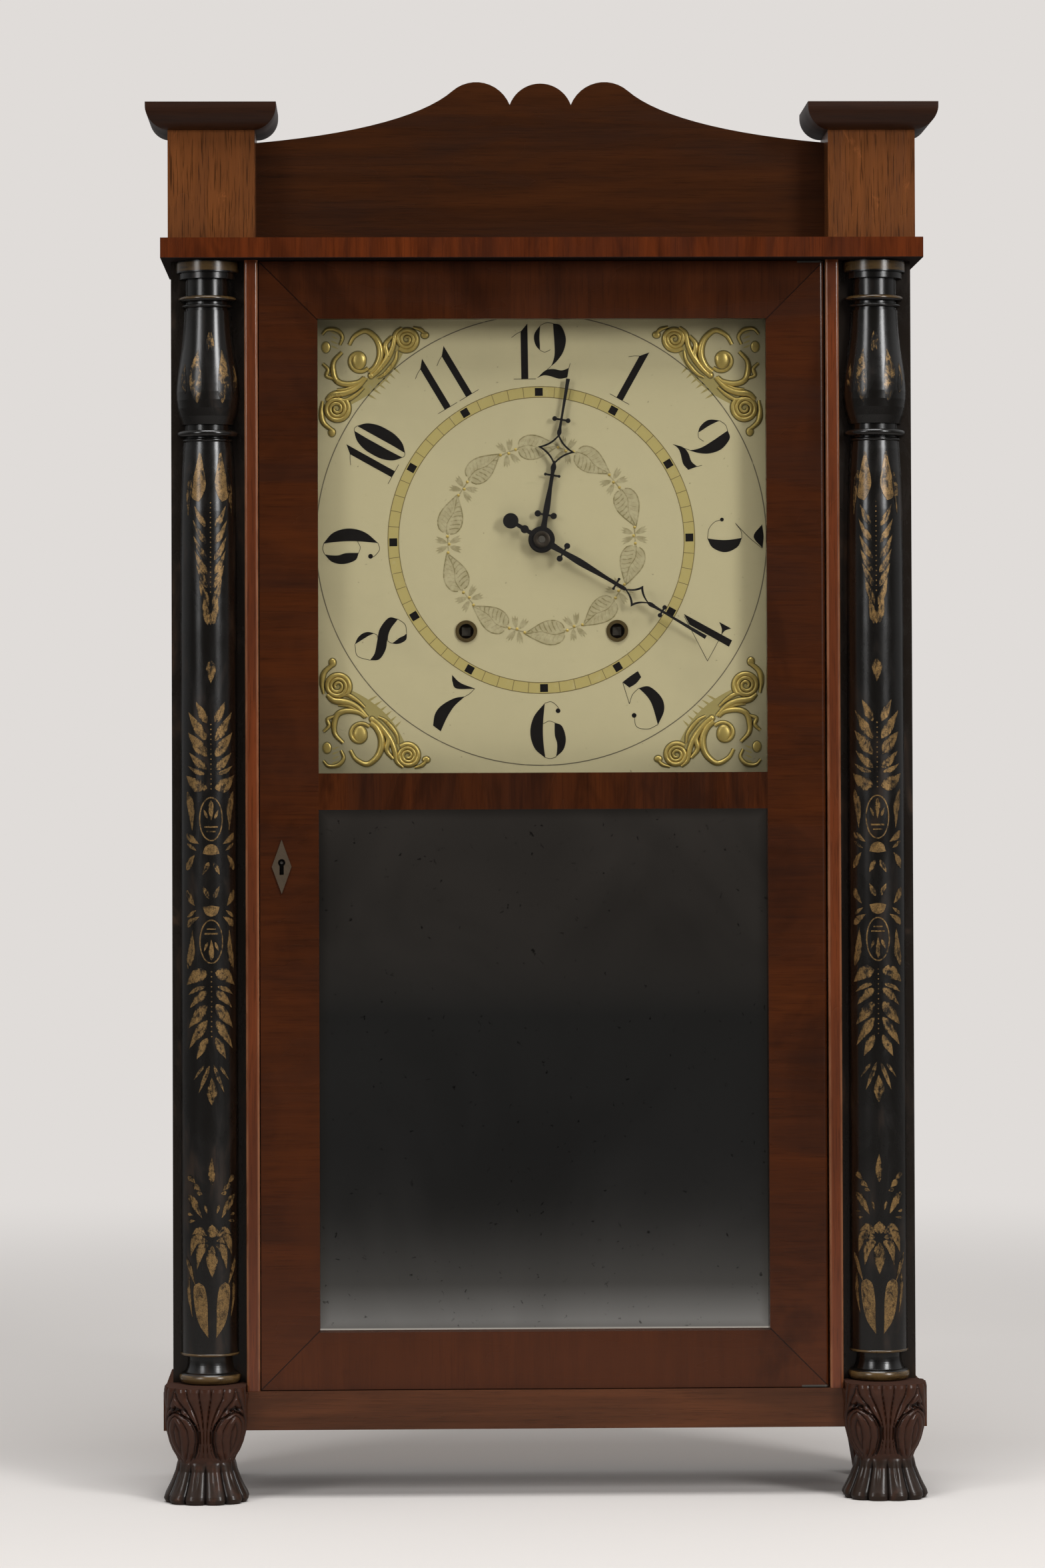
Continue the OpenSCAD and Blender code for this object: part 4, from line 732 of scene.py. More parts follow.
class CLOCK_OT_case(bpy.types.Operator):
    """Finishes the slab, sides, boards, cornice, chimneys, caps and splat"""

    bl_idname = "clock.dress_case"
    bl_label = "Finish the case"

    def execute(self, context):
        woods = context.scene.clock_woods
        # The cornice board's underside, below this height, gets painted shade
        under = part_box("cornice_board")[0].z + 0.0003
        dress(streaked_veneer("cornice_veneer", woods.cornice, 0.5, foot=under), "cornice_board")
        dress(wood("slab_veneer", woods.slab, "x", 0.45, dull=SLAB_HIGH.z - 0.0002), "base_slab")
        dress(wood("splat_veneer", woods.splat, "x", shift=(2, 0, 0)), "splat")
        dress(wood("cap_veneer", times(woods.splat, 0.85), "x", 0.5, 0.1, (3, 0, 0), rough=0.42),
              "cap_left", "cap_right")
        dress(wood("chimney_veneer", woods.chimney, "z", 0.35, 0.2, (7, 0, 0), 0.4, pore=0.75),
              "chimney_left", "chimney_right")
        dress(wood("case_wood", woods.side, "z", 0.4, 0.0, rough=0.6),
              "side_left", "side_right", "rear_feet")
        dress(strip_veneer("strip_veneer", woods.strip), "door_strip_left", "door_strip_right")
        dress(wood("bare_pine", woods.pine, "z", 0.3, 0.0, (1, 0, 0), rough=0.6),
              "back_boards", "movement_rails", "mirror_board")
        return {"FINISHED"}


class CLOCK_OT_door(bpy.types.Operator):
    """Finishes the door's frame, glass, mirror, escutcheon and lock"""

    bl_idname = "clock.dress_door"
    bl_label = "Finish the door"

    def execute(self, context):
        woods = context.scene.clock_woods
        dress(door_veneer("door_veneer", woods.door),
              "stile_left", "stile_right", "rail_top", "rail_bottom")
        dress(streaked_veneer("rail_veneer", woods.door, 0.6, (3, 0, 0)), "rail_middle")
        dress(pane("window_glass"), "dial_glass")
        dress(mirror_tarnish_and_painted_reflection("mirror_tarnish_and_painted_reflection"), "mirror_glass")
        dress(metal("escutcheon_metal", display(112, 98, 82), 0.45, 0.2, 0.7), "escutcheon")
        dress(metal("dull_steel", display(120, 116, 110), 0.4),
              "lock_case", "lock_bolt", "door_pins")
        return {"FINISHED"}


class CLOCK_OT_movement(bpy.types.Operator):
    """Finishes the movement, bell, weights, pendulum, pulleys and hands"""

    bl_idname = "clock.dress_movement"
    bl_label = "Finish the movement"

    def execute(self, context):
        woods = context.scene.clock_woods
        dress(wood("cherry_wheel", woods.wheel, "z", 0.35, 0.1, rough=0.45, tip=DIAL_FRONT + 0.006),
              "time_drum", "strike_drum", "time_great_wheel", "strike_great_wheel", "centre_wheel",
              "third_wheel", "minute_wheel", "pin_wheel", "fly", "count_wheel")
        dress(wood("oak_plate", woods.plate, "x", 0.35, 0.1, rough=0.5),
              "plate_front", "plate_back")
        dress(metal("aged_brass", display(176, 142, 84), 0.28),
              "escape_wheel", "pendulum_bob", "bell", "pulley_left", "pulley_right")
        dress(metal("ring_brass", display(120, 102, 66), 0.4, 0.2, 0.7), "winding_rings")
        dress(metal("drawn_wire", display(128, 124, 118), 0.35), "verge", "pendulum_rod", "hammer")
        dress(metal("cast_iron", display(60, 56, 52), 0.62, 0.2, 0.6, 700, 0.8),
              "weight_left", "weight_right")
        dress(metal("blackened_steel", display(26, 23, 22), 0.45, 0.2, 0.5, 500, 0.5),
              "minute_hand", "hour_hand")
        dress(twisted_cord("flax_cord"), "cord_runs")
        return {"FINISHED"}


# ---- Dial -----------------------------------------------------------------------------


# How far paint stands out from the dial, in millimetres. Where one lies over another their
# lifts differ, because faces in one plane would show as black patches.
GROUND, LINE, FIGURE = 0.05, 0.07, 0.1


def upright_plane(x, z, front=DIAL_FRONT):
    """Place function of a plane: millimetres to the right, upwards and out from a point in it."""
    return lambda u, w, lift: np.stack([
        x + u / 1000, front - np.broadcast_to(lift, u.shape) / 1000, z + w / 1000], -1)


def clock_place(angle, radius, flip=1, front=DIAL_FRONT):
    """Place function of something that stands at an angle, clockwise, and a radius round the hands.

    It stands upright outwards, or inwards where flip is -1. The radius is in millimetres.
    """
    s, c = math.sin(angle), math.cos(angle)
    plane = upright_plane(DIAL_X, DIAL_Z, front)
    return lambda u, w, lift: plane(radius * s + flip * (u * c + w * s),
                                    radius * c + flip * (w * c - u * s), lift)


def dial_place(angle, radius, flip=1):
    """Place function of a marking, turned as all the markings are."""
    return clock_place(angle - bpy.context.scene.clock_dial.turn, radius, flip)


def round_band(inner, outer, lift):
    """Flat ring on the dial: a rectangle between two radii, carried round."""
    a = round_angles(240)[:, None]
    r = np.array([[inner, outer, outer, inner]])
    lifts = np.array([[lift, lift, SUNK, SUNK]]) + 0 * a
    return hoop(dial_place(0, 0)(r * np.sin(a), r * np.cos(a), lifts))


# Height that the digits' readings give, in millimetres, and their shapes, upright and about
# their middle: filled parts between two edges, hairlines, and dots with their radius. Each
# edge or line is x and y of its points in turn.
DIGIT_HEIGHT = 35
DIGITS = {
    "0": (
        [((-1.6, 17.6, -6.2, 13, -8.7, 6.5, -9.2, 0, -8.7, -6.5, -6.2, -13, -1.6, -17.6),
          (-1.6, 17.6, -1.9, 8, -1.9, 0, -1.9, -8, -1.6, -17.6)),
         ((1.9, 17.6, 1.9, 8, 1.9, 0, 1.9, -8, 1.6, -17.6),
          (1.6, 17.6, 6.2, 13, 8.7, 6.5, 9.2, 0, 8.7, -6.5, 6.2, -13, 1.6, -17.6))],
        [(-1.7, 17.4, 0, 18, 1.7, 17.4), (-1.7, -17.4, 0, -18, 1.7, -17.4)], []),
    "1": (
        [((-2.2, 12.5, -2.2, 0, -2.2, -17.5), (2.2, 17.6, 2.2, 0, 2.2, -17.5))],
        [(-2, 12.6, -5, 11, -8, 8.8), (-7, -17.5, 7, -17.5)], []),
    "2": (
        [((1.3, 17.4, 1.6, 11.9, 2, 5, 2, -2, 0.8, -7, -0.7, -10),
          (1.3, 17.4, 6.3, 15.9, 9.3, 8, 7.8, 0, 3.8, -6, -0.7, -10)),
         ((-6.7, 16.4, -10.1, 11.9, -10.9, 8, -9.7, 3.5, -7.2, 0.5),
          (-6.7, 16.4, -7.2, 11.9, -7.4, 8, -7.2, 3.5, -7.2, 0.5)),
         ((-9.2, -16.9, -4.2, -12.4, 0.8, -11.4, 6.3, -12.4, 10.9, -10.9),
          (-9.2, -16.9, -5.2, -15.4, -1.2, -15.9, 4.8, -17.7, 9.8, -16.9))],
        [(-6.7, 16.3, -2.5, 18, 1.4, 17.3), (-7.2, 0.6, -4.2, -0.7, -0.6, 0.8),
         (-0.6, -9.8, -5, -13.6, -9, -16.8), (10.8, -11.2, 11.8, -8)], []),
    "3": (
        [((-7.6, 20.4, 0, 21.2, 7.6, 20.4), (-7.6, 20.4, 0, 14.9, 7.6, 20.4)),
         ((0.8, 7.5, 1.6, 2, 2, -3.4, 1.6, -9, 0.8, -14.4),
          (0.8, 7.5, 6.6, 4.4, 9.7, -3.4, 6.6, -11.3, 0.8, -14.4))],
        [(7.5, 20, 0, 11.4, -8.5, 3.5), (-8.5, 3.5, -3.5, 7, 0.9, 7.4),
         (0.9, -14.3, -5, -13.4, -9.4, -9.8, -11, -5)], [(-11, -5, 1.2)]),
    "4": (
        [((-1.4, 11.6, -1.4, -2, -1.5, -17), (2.8, 18, 2.9, 2, 3, -16.8)),
         ((3.2, -9, 6.4, -7.4, 9.2, -4), (3.2, -9.2, 6.4, -10, 9.3, -12.6))],
        [(1.6, 17, -7, 4.1, -16, -9.5), (-16, -9.5, -7, -9.5, 3.4, -9.2)], []),
    "5": (
        [((-2.4, 16, 3.5, 16.7, 9.6, 17), (-0.4, 10.8, 4.6, 10.9, 9.4, 12.6)),
         ((4.4, 7.6, 6, 2, 6.5, -3.5, 5.6, -9, 2.9, -18.7),
          (4.4, 7.6, 10.8, 4.8, 13.8, -5, 11, -12.8, 2.9, -18.7))],
        [(-2.3, 15.8, -4, 9, -5.7, 2), (-5.7, 2, -1, 6, 4.6, 7.5),
         (3, -18.5, -4, -17.6, -9.2, -12.6, -6.9, -5.8)], [(-6.9, -5.8, 1.5)]),
    "6": (
        [((0.3, 16.3, -6.7, 7.9, -9.2, -2.1, -6.7, -12, -0.2, -18.2),
          (0.3, 16.3, -0.9, 4.9, -1.2, -4.1, -0.6, -13, 0.1, -18.2)),
         ((6.3, 3.9, 6.3, -4.1, 7.6, -9, 7.5, -14, 6.8, -17.8),
          (6.3, 3.9, 10.9, 1.6, 13.2, -6.1, 11.6, -13.2, 6.8, -17.8))],
        [(0.3, 16.2, 4.6, 17, 8.6, 13.6, 8.6, 11.3), (-0.9, 3.2, 2.8, 4.9, 6.4, 3.8),
         (0, -18.1, 3.4, -18.8, 6.9, -17.7)], [(8.6, 11.3, 1.5)]),
    "7": (
        [((-8, 17.4, -1, 15.6, 8.8, 16.9), (-6.2, 14.2, -1.6, 11.2, 8.8, 16.7)),
         ((5.6, 9.4, 0.2, 5, -4.6, -3, -5.4, -9.6, -3, -16.4),
          (5.6, 9.2, 3, 1.6, 2.3, -4.4, 2.3, -9, 3, -17.2))],
        [(8.7, 16.8, 7.5, 12.5, 5.6, 9.3)], []),
    "8": (
        [((-3.7, 16, -7.4, 11.4, -4.4, 3, 1.8, -2.8, 7.2, -7.8, 9.4, -12.4),
          (-3.7, 16, -0.7, 8.6, 3.6, 3.8, 8.9, -0.8, 12, -7.3, 9.6, -12.5)),
         ((6.8, 16.1, 7.2, 13.6, 6.9, 11, 7.2, 8, 7.5, 4.7),
          (6.8, 16.1, 9.8, 14, 10.4, 11, 9.6, 7.6, 7.5, 4.7)),
         ((-4, -15.7, -6.6, -12, -7.4, -8, -6.4, -4.4, -3.6, -1.4),
          (-4, -15.7, -4.1, -12, -4.2, -8.4, -4.2, -5, -3.6, -1.4))],
        [(-3.7, 15.9, 1.5, 18, 6.8, 16), (7.5, 4.8, 5, 3.4, 3.2, 4.2),
         (-4, -15.6, 3, -18, 9.5, -12.6), (-3.6, -1.6, -1.6, -0.6, -0.4, -1.4)], []),
}
SPELLING = {1: [("1", 0)], 10: [("1", -9.2), ("0", 4.5)], 11: [("1", -7.9), ("1", 7.9)],
            12: [("1", -8.7), ("2", 8.4)]}


class CLOCK_OT_dial(bpy.types.Operator):
    """Paints the dial board, minute ring, hour marks and fine circles"""

    bl_idname = "clock.paint_dial"
    bl_label = "Paint the dial"

    def execute(self, context):
        paints, sizes = context.scene.clock_paints, context.scene.clock_dial
        dial = paints.dial
        dress(dial_paint("dial_cream", dial, context.scene.clock_woods.pine, sizes.circle_radius),
              "dial_board")
        radius, circle = sizes.ring_radius * 1000, sizes.circle_radius * 1000
        half, square = sizes.ring_width * 500, sizes.square * 500
        inner, outer = radius - half, radius + half
        fine, thin, mark = 0.5, 0.35, 0.4  # Ring's lines, half the outer circle and minute marks
        piece("minute_ring", [round_band(inner, outer, GROUND)], "case",
              flat_paint("ring_gold", paints.ring, 0.35, 120, dial))
        lines = [round_band(inner - fine, inner, LINE), round_band(outer, outer + fine, LINE)]
        minute = edges_of(np.array([[0, -half], [0, half]]), mark)
        lines += [sheet(minute, dial_place(m * math.tau / 60, radius), LINE)
                  for m in range(60) if m % 5]
        piece("minute_lines", lines, "case",
              flat_paint("ring_line", paints.line, 0.5, 300, dial))
        piece("outer_circle", [round_band(circle - thin, circle + thin, GROUND)],
              "case",
              flat_paint("circle_line", paints.circle, 0.6, 260, dial))
        sides = [np.array([[x, square], [x, -square]]) for x in (-square, square)]
        marks = [sheet(sides, dial_place(h * math.tau / 12, radius), FIGURE) for h in range(12)]
        piece("hour_marks", marks, "case",
              flat_paint("mark_black", paints.numeral, 0.3, 260, coat=0.0), smooth_faces=False)
        return {"FINISHED"}


class CLOCK_OT_numerals(bpy.types.Operator):
    """Paints the twelve numerals, those of the lower hours with their feet outwards"""

    bl_idname = "clock.paint_numerals"
    bl_label = "Paint the numerals"

    def execute(self, context):
        sizes = context.scene.clock_dial
        shells = []
        for hour in range(1, 13):
            flip = -1 if 4 <= hour <= 8 else 1
            place = dial_place(hour * math.tau / 12, sizes.numeral_radius * 1000, flip)
            for digit, move in SPELLING.get(hour, [(str(hour), 0)]):
                shells += self.digit(digit, move, sizes.numeral_height * 1000 / DIGIT_HEIGHT, place)
        piece("numerals", shells, "case",
              flat_paint("numeral_black", context.scene.clock_paints.numeral, 0.3, 300, coat=0.0))
        return {"FINISHED"}

    def digit(self, digit, move, scale, place):
        """Shells of a digit moved to the right; a nine is a six turned over."""
        if digit == "9":
            digit, scale = "6", -scale
        fills, hairlines, dots = DIGITS[digit]

        def curve(flat, steps):
            return smooth(np.reshape(flat, (-1, 2)) * scale + (move, 0), steps)

        shells = [sheet([curve(edge, 24) for edge in fill], place, FIGURE, across=2)
                  for fill in fills]
        shells += [sheet(edges_of(curve(line, 14), 0.32), place, 0.09) for line in hairlines]
        shells += [sheet(oval(x * scale + move, y * scale, r, r), place, FIGURE)
                   for x, y, r in dots]
        return shells


class CLOCK_OT_wreath(bpy.types.Operator):
    """Paints the faded wreath round the hands: leaf pairs, small sprigs and gold dots"""

    bl_idname = "clock.paint_wreath"
    bl_label = "Paint the wreath"

    def execute(self, context):
        sizes, paints = context.scene.clock_dial, context.scene.clock_paints
        radius = sizes.wreath_radius * 1000
        half = np.array([(-11.5, 2.2), (-10, 5.4), (-5.5, 7.6), (0, 7.3), (5, 5.2), (9.5, 2.6),
                         (13.5, 0.1)])
        paint, dots = [], []

        def stroke(points, width, place, shade=1.0, lift=0.09):
            paint.append(sheet(edges_of(smooth(points, 12), width), place, lift, values=shade))

        for turn in range(10):
            place = dial_place(math.radians(34 + 36 * turn), radius)
            sides = [half * (1, way) for way in (-1, 1)]
            body = [smooth(side, 20) for side in sides]
            paint.append(sheet(body, place, GROUND, across=4, values=0.42))
            for side in sides:
                stroke(side, 0.8, place)
            stroke([(-12, 0), (-5, 1.4), (3, -0.8), (13.5, 0)], 0.6, place, lift=0.11)
            for x in -9 + 2.7 * np.arange(7):
                tall = np.interp(x + 2.4, *half.T) * 0.92
                under = [(x, -0.6), (x + 1.6, -0.55 * tall), (x + 2.4, -tall)]
                over = [(x, 0.8), (x + 1.8, 0.5 * tall), (x + 2.6, 0.8 * tall)]
                stroke(under, 0.75, place, 0.9, 0.075)
                stroke(over, 0.45, place, 0.7, 0.075)
            place = dial_place(math.radians(16 + 36 * turn), radius)
            stroke([(-7.5, 0), (0, 0.4), (7.5, 0)], 0.8, place, 0.8, 0.12)
            for x, side in ((-1, -1), (-1, 1), (1, -1), (1, 1)):
                for lean, tall, lift in ((0.8, 8.0, 0.06), (2.6, 8.6, 0.08), (4.4, 7.6, 0.10)):
                    leaf = blade([(x * 1.2, 0.8 * side), (x * (1.4 + 0.5 * lean), 4.6 * side),
                                  (x * (1.2 + lean), tall * side)], 2.0, 0.75, 8)
                    paint.append(sheet(leaf, place, lift, values=0.7))
            for x, y in ((-5.0, 0.5), (0.3, -0.4), (5.2, 0.4)):
                dots.append(dome(x, y, 1.0, 1.0, 0.6, place, 5, 12))
        piece("wreath_leaves", paint, "case",
              wreath_paint("wreath_paint", paints.dial, paints.ring))
        piece("wreath_dots", dots, "case",
              metal("dot_gilt", paints.gilt, 0.3, 0.15, 0.3, metallic=0.5))
        return {"FINISHED"}


def spiral(x, y, start, radius, turns, way):
    """Curve of a volute: a circle whose radius shrinks evenly from the outside to a fifth."""
    t = np.linspace(0, 1, int(14 * turns))
    a = math.radians(start) + way * math.tau * turns * t
    r = radius * (1 - 0.82 * t)
    return np.stack([x + r * np.cos(a), y + r * np.sin(a)], 1)


# Raised strokes of a corner in millimetres from the corner of the opening, each with its
# radii along the way, and its domes: x, y, both radii and rise
SCROLLS = [
    (spiral(11.7, 54.9, -40, 8.0, 2.7, 1), (1.4, 1.1, 0.8)),
    (spiral(56, 11, 130, 7.4, 2.7, -1), (1.4, 1.1, 0.8)),
    (spiral(25.9, 24.4, 40, 7.6, 1.3, 1), (0.9, 1.1, 0.7)),
    ([(15.2, 19.1), (10.1, 24.8), (9.6, 31.5), (11.8, 37.2), (17.5, 39.4), (25.3, 38.3),
      (29.3, 35.4)], (0.8, 1.6, 1.5, 1.2)),
    ([(19.7, 14.6), (23.1, 9), (29.8, 5.6), (35.5, 9), (38.8, 14.6), (39.4, 21.4), (36.6, 28.2),
      (32.4, 32)], (0.8, 1.4, 2.0, 1.6)),
    ([(46.7, 9), (42.6, 14.6), (43.6, 21.4), (40.4, 27), (34.6, 33.4)], (0.8, 1.6, 1.4, 0.8)),
    ([(5.1, 49.5), (9.4, 46), (17.5, 44.8), (24.2, 41.7), (30.4, 35.4)], (1.0, 1.9, 1.6, 1.0)),
    ([(12, 43), (19, 42.2), (26, 38.6)], (0.4, 1.0, 0.5)),
    ([(53, 3.6), (49, 7.5), (47.5, 15), (44.5, 22), (38.5, 30), (33, 35)], (0.7, 1.5, 1.7, 1.1)),
    ([(2.9, 50), (2.0, 57), (3.5, 63.7), (9.2, 68.8)], (0.6, 1.6, 0.9)),
    ([(60, 3.4), (65, 5), (68, 8.4)], (0.5, 1.0, 0.6)),
    ([(2.9, 26.3), (6.3, 30), (5.4, 34), (9.9, 36)], (0.6, 1.1, 0.6)),
    ([(2.6, 8), (6, 4.6), (12, 5.2), (15.5, 9.5), (13.8, 14.5)], (0.5, 1.1, 0.6)),
    ([(29, 41.5), (24, 46), (17.5, 49.5), (12.5, 48)], (0.5, 1.2, 0.6)),
    ([(37.5, 35.5), (42.5, 32.5), (48.5, 25), (50, 18.5)], (0.5, 1.2, 0.6))]
KNOBS = [(25.9, 24.4, 4.4, 5.6, 1.6), (8.6, 69.8, 2.2, 2.6, 0.8), (67.5, 8.4, 2.4, 2.0, 0.8),
         (5, 16, 2.6, 3.4, 0.5), (33.5, 34, 1.8, 1.8, 1.2)]


class CLOCK_OT_corners(bpy.types.Operator):
    """Builds the raised gilt scrolls in the dial's four corners"""

    bl_idname = "clock.build_corners"
    bl_label = "Build the corner scrolls"

    def execute(self, context):
        paints = context.scene.clock_paints
        gilt = metal("raised_gilt", paints.gilt, 0.26, 0.2, 0.55, 700, 0.5)
        # Dark olive paint for the painted shadow round the raised strokes and knobs
        line = flat_paint("corner_painted_shadow", times(paints.ring, 0.33), 0.5, 240,
                          times(paints.dial, 0.5))
        wash = flat_paint("corner_wash", times(paints.ring, 0.75), 0.7, 110,
                          times(paints.dial, 0.6))
        strokes = [(smooth(points, 90 if len(points) > 20 else 40), radii)
                   for points, radii in SCROLLS]
        sprays = [blade([(30 + 3.2 * k, 45 - 3.6 * k), (37 + 3.0 * k, 49 - 3.2 * k)], 1.4, 0.7, 8)
                  for k in range(6)]
        sprays += [blade([(8, 6 + 3 * k), (13, 8 + 3 * k)], 1.2, 0.7, 8) for k in range(4)]
        band = edges_of(smooth([(4, 60), (17, 51), (30, 42), (42, 31), (52, 17), (60, 4)], 40),
                        9 * np.sin(np.linspace(0.1, 3.04, 41)))
        wider, rim = 1.3, 0.6  # How much the dark outline adds to a stroke's width and to a radius
        for side, corner_x, way_x in (("left", OPEN_LEFT, 1), ("right", OPEN_RIGHT, -1)):
            for end, corner_z, way_z in (("low", OPEN_LOW, 1), ("high", OPEN_HIGH, -1)):
                plane = upright_plane(corner_x, corner_z)

                def place(u, w, lift):
                    return plane(way_x * u, way_z * w, lift)

                scrolls = [bead_line(path, radii, place) for path, radii in strokes]
                scrolls += [dome(*knob, place) for knob in KNOBS]
                piece(f"scroll_{side}_{end}", scrolls, "case", gilt)
                washes = [sheet(spray, place, GROUND) for spray in sprays]
                washes.append(sheet(band, place, 0.04, across=3))
                piece(f"wash_{side}_{end}", washes, "case", wash)
                # Painted shadow: a dark flat band under each raised stroke and round each knob,
                # wider than they are
                under = [sheet(edges_of(path, 2 * even(radii, len(path)) + wider), place, LINE)
                         for path, radii in strokes]
                under += [sheet(oval(x, y, rx + rim, ry + rim), place, 0.06)
                          for x, y, rx, ry, _ in KNOBS]
                piece(f"outline_{side}_{end}", under, "case", line)
        return {"FINISHED"}


# Each hand's angle in degrees, its front's distance before the dial in metres, and half
# widths along it in millimetres, before and behind the diamond whose ends the flares meet
HANDS = {
    "hour_hand": (9.55, 0.0044, [
        [(7, 2.1), (13, 1.6), (16, 1.9), (20, 2.0), (27, 1.7), (36, 1.1), (43, 1.2), (46.5, 1.7),
         (50.5, 0.3)],
        [(65.5, 0.3), (68.5, 1.4), (72, 0.9), (78, 0.75), (92, 0.75), (103, 1.3)]]),
    "minute_hand": (121.0, 0.0074, [
        [(7, 2.2), (13, 1.7), (17, 1.6), (25, 2.1), (31, 2.1), (42, 1.5), (54, 0.95), (59, 1.3),
         (63, 0.3)],
        [(77, 0.3), (80, 1.3), (84, 0.9), (90, 0.7), (104, 0.75), (120.5, 1.2)]])}


class CLOCK_OT_hands(bpy.types.Operator):
    """Adds the hands' swelling blades, their flares at the diamonds and the washer at the centre"""

    bl_idname = "clock.forge_hands"
    bl_label = "Forge the hands"

    def execute(self, context):
        steel = metal("blued_steel", display(24, 21, 20), 0.42, 0.2, 0.4, 500, 0.4)
        for node, (angle, before, parts) in HANDS.items():
            place = clock_place(math.radians(angle), 0, front=DIAL_FRONT - before)
            shells = []
            for part in parts:
                path = smooth(np.array(part)[:, ::-1], 40)
                edges = path * (-1, 1), path
                shells.append(sheet(edges, place, front=0.06, back=-1.26, across=2))
            piece(node.replace("hand", "blade"), shells, node, steel,
                  smooth_faces=False)
        # The washer lies on the minute hand, which is the last one
        a = round_angles(40)
        section = ((5.2, 0.5), (5.2, 1.05), (4.9, 1.2), (2.6, 1.2), (2.4, 1.05), (2.4, 0.5))
        washer = [place(r * np.sin(a), r * np.cos(a), lift) for r, lift in section]
        piece("hand_washer", [hoop(np.stack(washer, 1))], "minute_hand",
              metal("washer_steel", display(84, 76, 66), 0.4, 0.2, 0.6))
        return {"FINISHED"}


# ---- Columns, feet and cords ----------------------------------------------------------


class Turning:
    """A turned half column's axis and its radius at each height, from its node in the frame."""

    def __init__(self, node):
        mesh = frame["nodes"][node].data
        points = np.zeros(len(mesh.vertices) * 3)
        mesh.vertices.foreach_get("co", points)
        points = points.reshape(-1, 3)
        low, high = points.min(0), points.max(0)
        self.x, self.y = (low[0] + high[0]) / 2, high[1]
        self.z, rows = np.unique(np.round(points[:, 2], 5), return_inverse=True)
        self.r = np.zeros(len(self.z))
        np.maximum.at(self.r, rows, np.hypot(points[:, 0] - self.x, points[:, 1] - self.y))

    def place(self, s, z, lift):
        """Surface at an arc length right of the front line and at a height, in millimetres."""
        r = np.interp(z / 1000, self.z, self.r)
        a = s / 1000 / r
        far = r + np.broadcast_to(lift, s.shape) / 1000
        return np.stack([self.x + far * np.sin(a), self.y - far * np.cos(a), z / 1000], -1)


# Stencil leaves of one side, in millimetres: a leaf's width, then its points from the root
# to the tip, each as distance from the stencil's middle line and height above the floor
TOP_LEAVES = [(8.5, 8, 684, 9.5, 702, 7.5, 718), (5.5, 17, 690, 19, 700, 17.5, 709),
              (3.0, 1.6, 716, 1.2, 723, 0.6, 729), (5.0, 11.8, 642, 14.5, 628, 15.4, 614)]
FEATHER = [(4.2, 3.0, 606.5, 6.4, 612, 10.4, 620), (4.2, 2.6, 596, 6.6, 602, 11.4, 611),
           (4.2, 2.3, 586, 6.4, 592, 11.0, 601), (4.2, 2.0, 577, 5.8, 583, 10.2, 592),
           (4.2, 1.6, 568, 5.2, 575, 9.0, 583), (4.4, 1.2, 557, 4.2, 565, 7.2, 574),
           (4.4, 1.6, 545, 3.0, 554, 4.4, 563)]
PALMETTE = [(5.4, 2.6, 484.0, 6.0, 490.6, 9.5, 497.5), (6.2, 2.6, 473.0, 8.3, 481.2, 15.2, 491),
            (7.4, 2.6, 463.2, 8.4, 470.4, 15.6, 478.3), (5.4, 2.6, 454.9, 7.9, 459.3, 14.6, 465.6),
            (3.2, 3.6, 452.2, 9.6, 454.0, 15.8, 457.5), (8.6, 2.4, 443.5, 9.7, 445.6, 17.4, 451.4),
            (5.6, 16.3, 441.5, 13.4, 431, 12.4, 417), (4.6, 17.0, 415.4, 13.2, 411.9, 7.6, 408.6),
            (2.6, 16.6, 409, 12.8, 406.6, 9.6, 404.6), (5.0, 17.2, 392, 14.6, 397, 10.6, 402)]
SPRIGS = [(3.0, 1.2, 271, 4.6, 262.2, 8.2, 253.5), (2.2, 4.6, 270.6, 7.7, 266.7, 11.8, 261.4),
          (4.4, 16.9, 201, 13.8, 199.8, 10.8, 197.2), (4.2, 12.8, 196.2, 10.0, 195.1, 7.2, 192.6),
          (3.0, 9.6, 191.5, 5.8, 190.6), (5.6, 17.0, 190, 11.4, 184.2, 6.2, 175.6),
          (1.8, 4.6, 184, 3.1, 178.5), (1.9, 17.0, 178, 12.6, 177.3), (2.2, 16.5, 173.2, 10.8, 174)]
DAISY = [(4.6, 3.0, 163.8, 8.1, 168.0, 13.2, 165.2), (6.6, 2.8, 161.4, 10.6, 162.0, 14.2, 152.0),
         (6.0, 2.2, 159.0, 7.2, 155.6, 9.6, 143.8), (3.4, 18.4, 151.5, 14.6, 142.8, 11.0, 134),
         (3.0, 15.6, 139, 15.9, 128, 13.2, 114)]
MIDDLE_LEAVES = [(6.4, 0, 523.5, 0.2, 517, 0, 509), (3.4, 0, 436, 0, 430, 0, 423),
                 (5.4, 0, 246, 0.3, 255, 0, 262), (4.2, 0, 196, -0.2, 205, 0, 213.4),
                 (8.4, 0, 163.6, 0, 171.6), (7.4, 0, 158.6, 0, 149, 0, 138.5),
                 (3.8, 0, 553, 0, 545)]

# Stencil shapes of one side that are given by their inner and outer edges
EDGED = [((5.9, 652.6, 4.3, 643.9, 2.8, 633.6, 4.8, 626.5, 7.5, 622.5),
          (7.1, 653.4, 10.2, 640.8, 13.1, 631.2, 11.9, 624.9, 7.5, 622.5)),
         ((8.5, 135.5, 4.7, 132.5, 3, 123, 2.8, 112, 2.5, 101.7),
          (8.5, 135.5, 12, 132.5, 11.6, 122.2, 8.6, 110.3, 2.5, 101.3))]

# Height at which the large figure is turned over for its second half
ROSETTE = 386.0


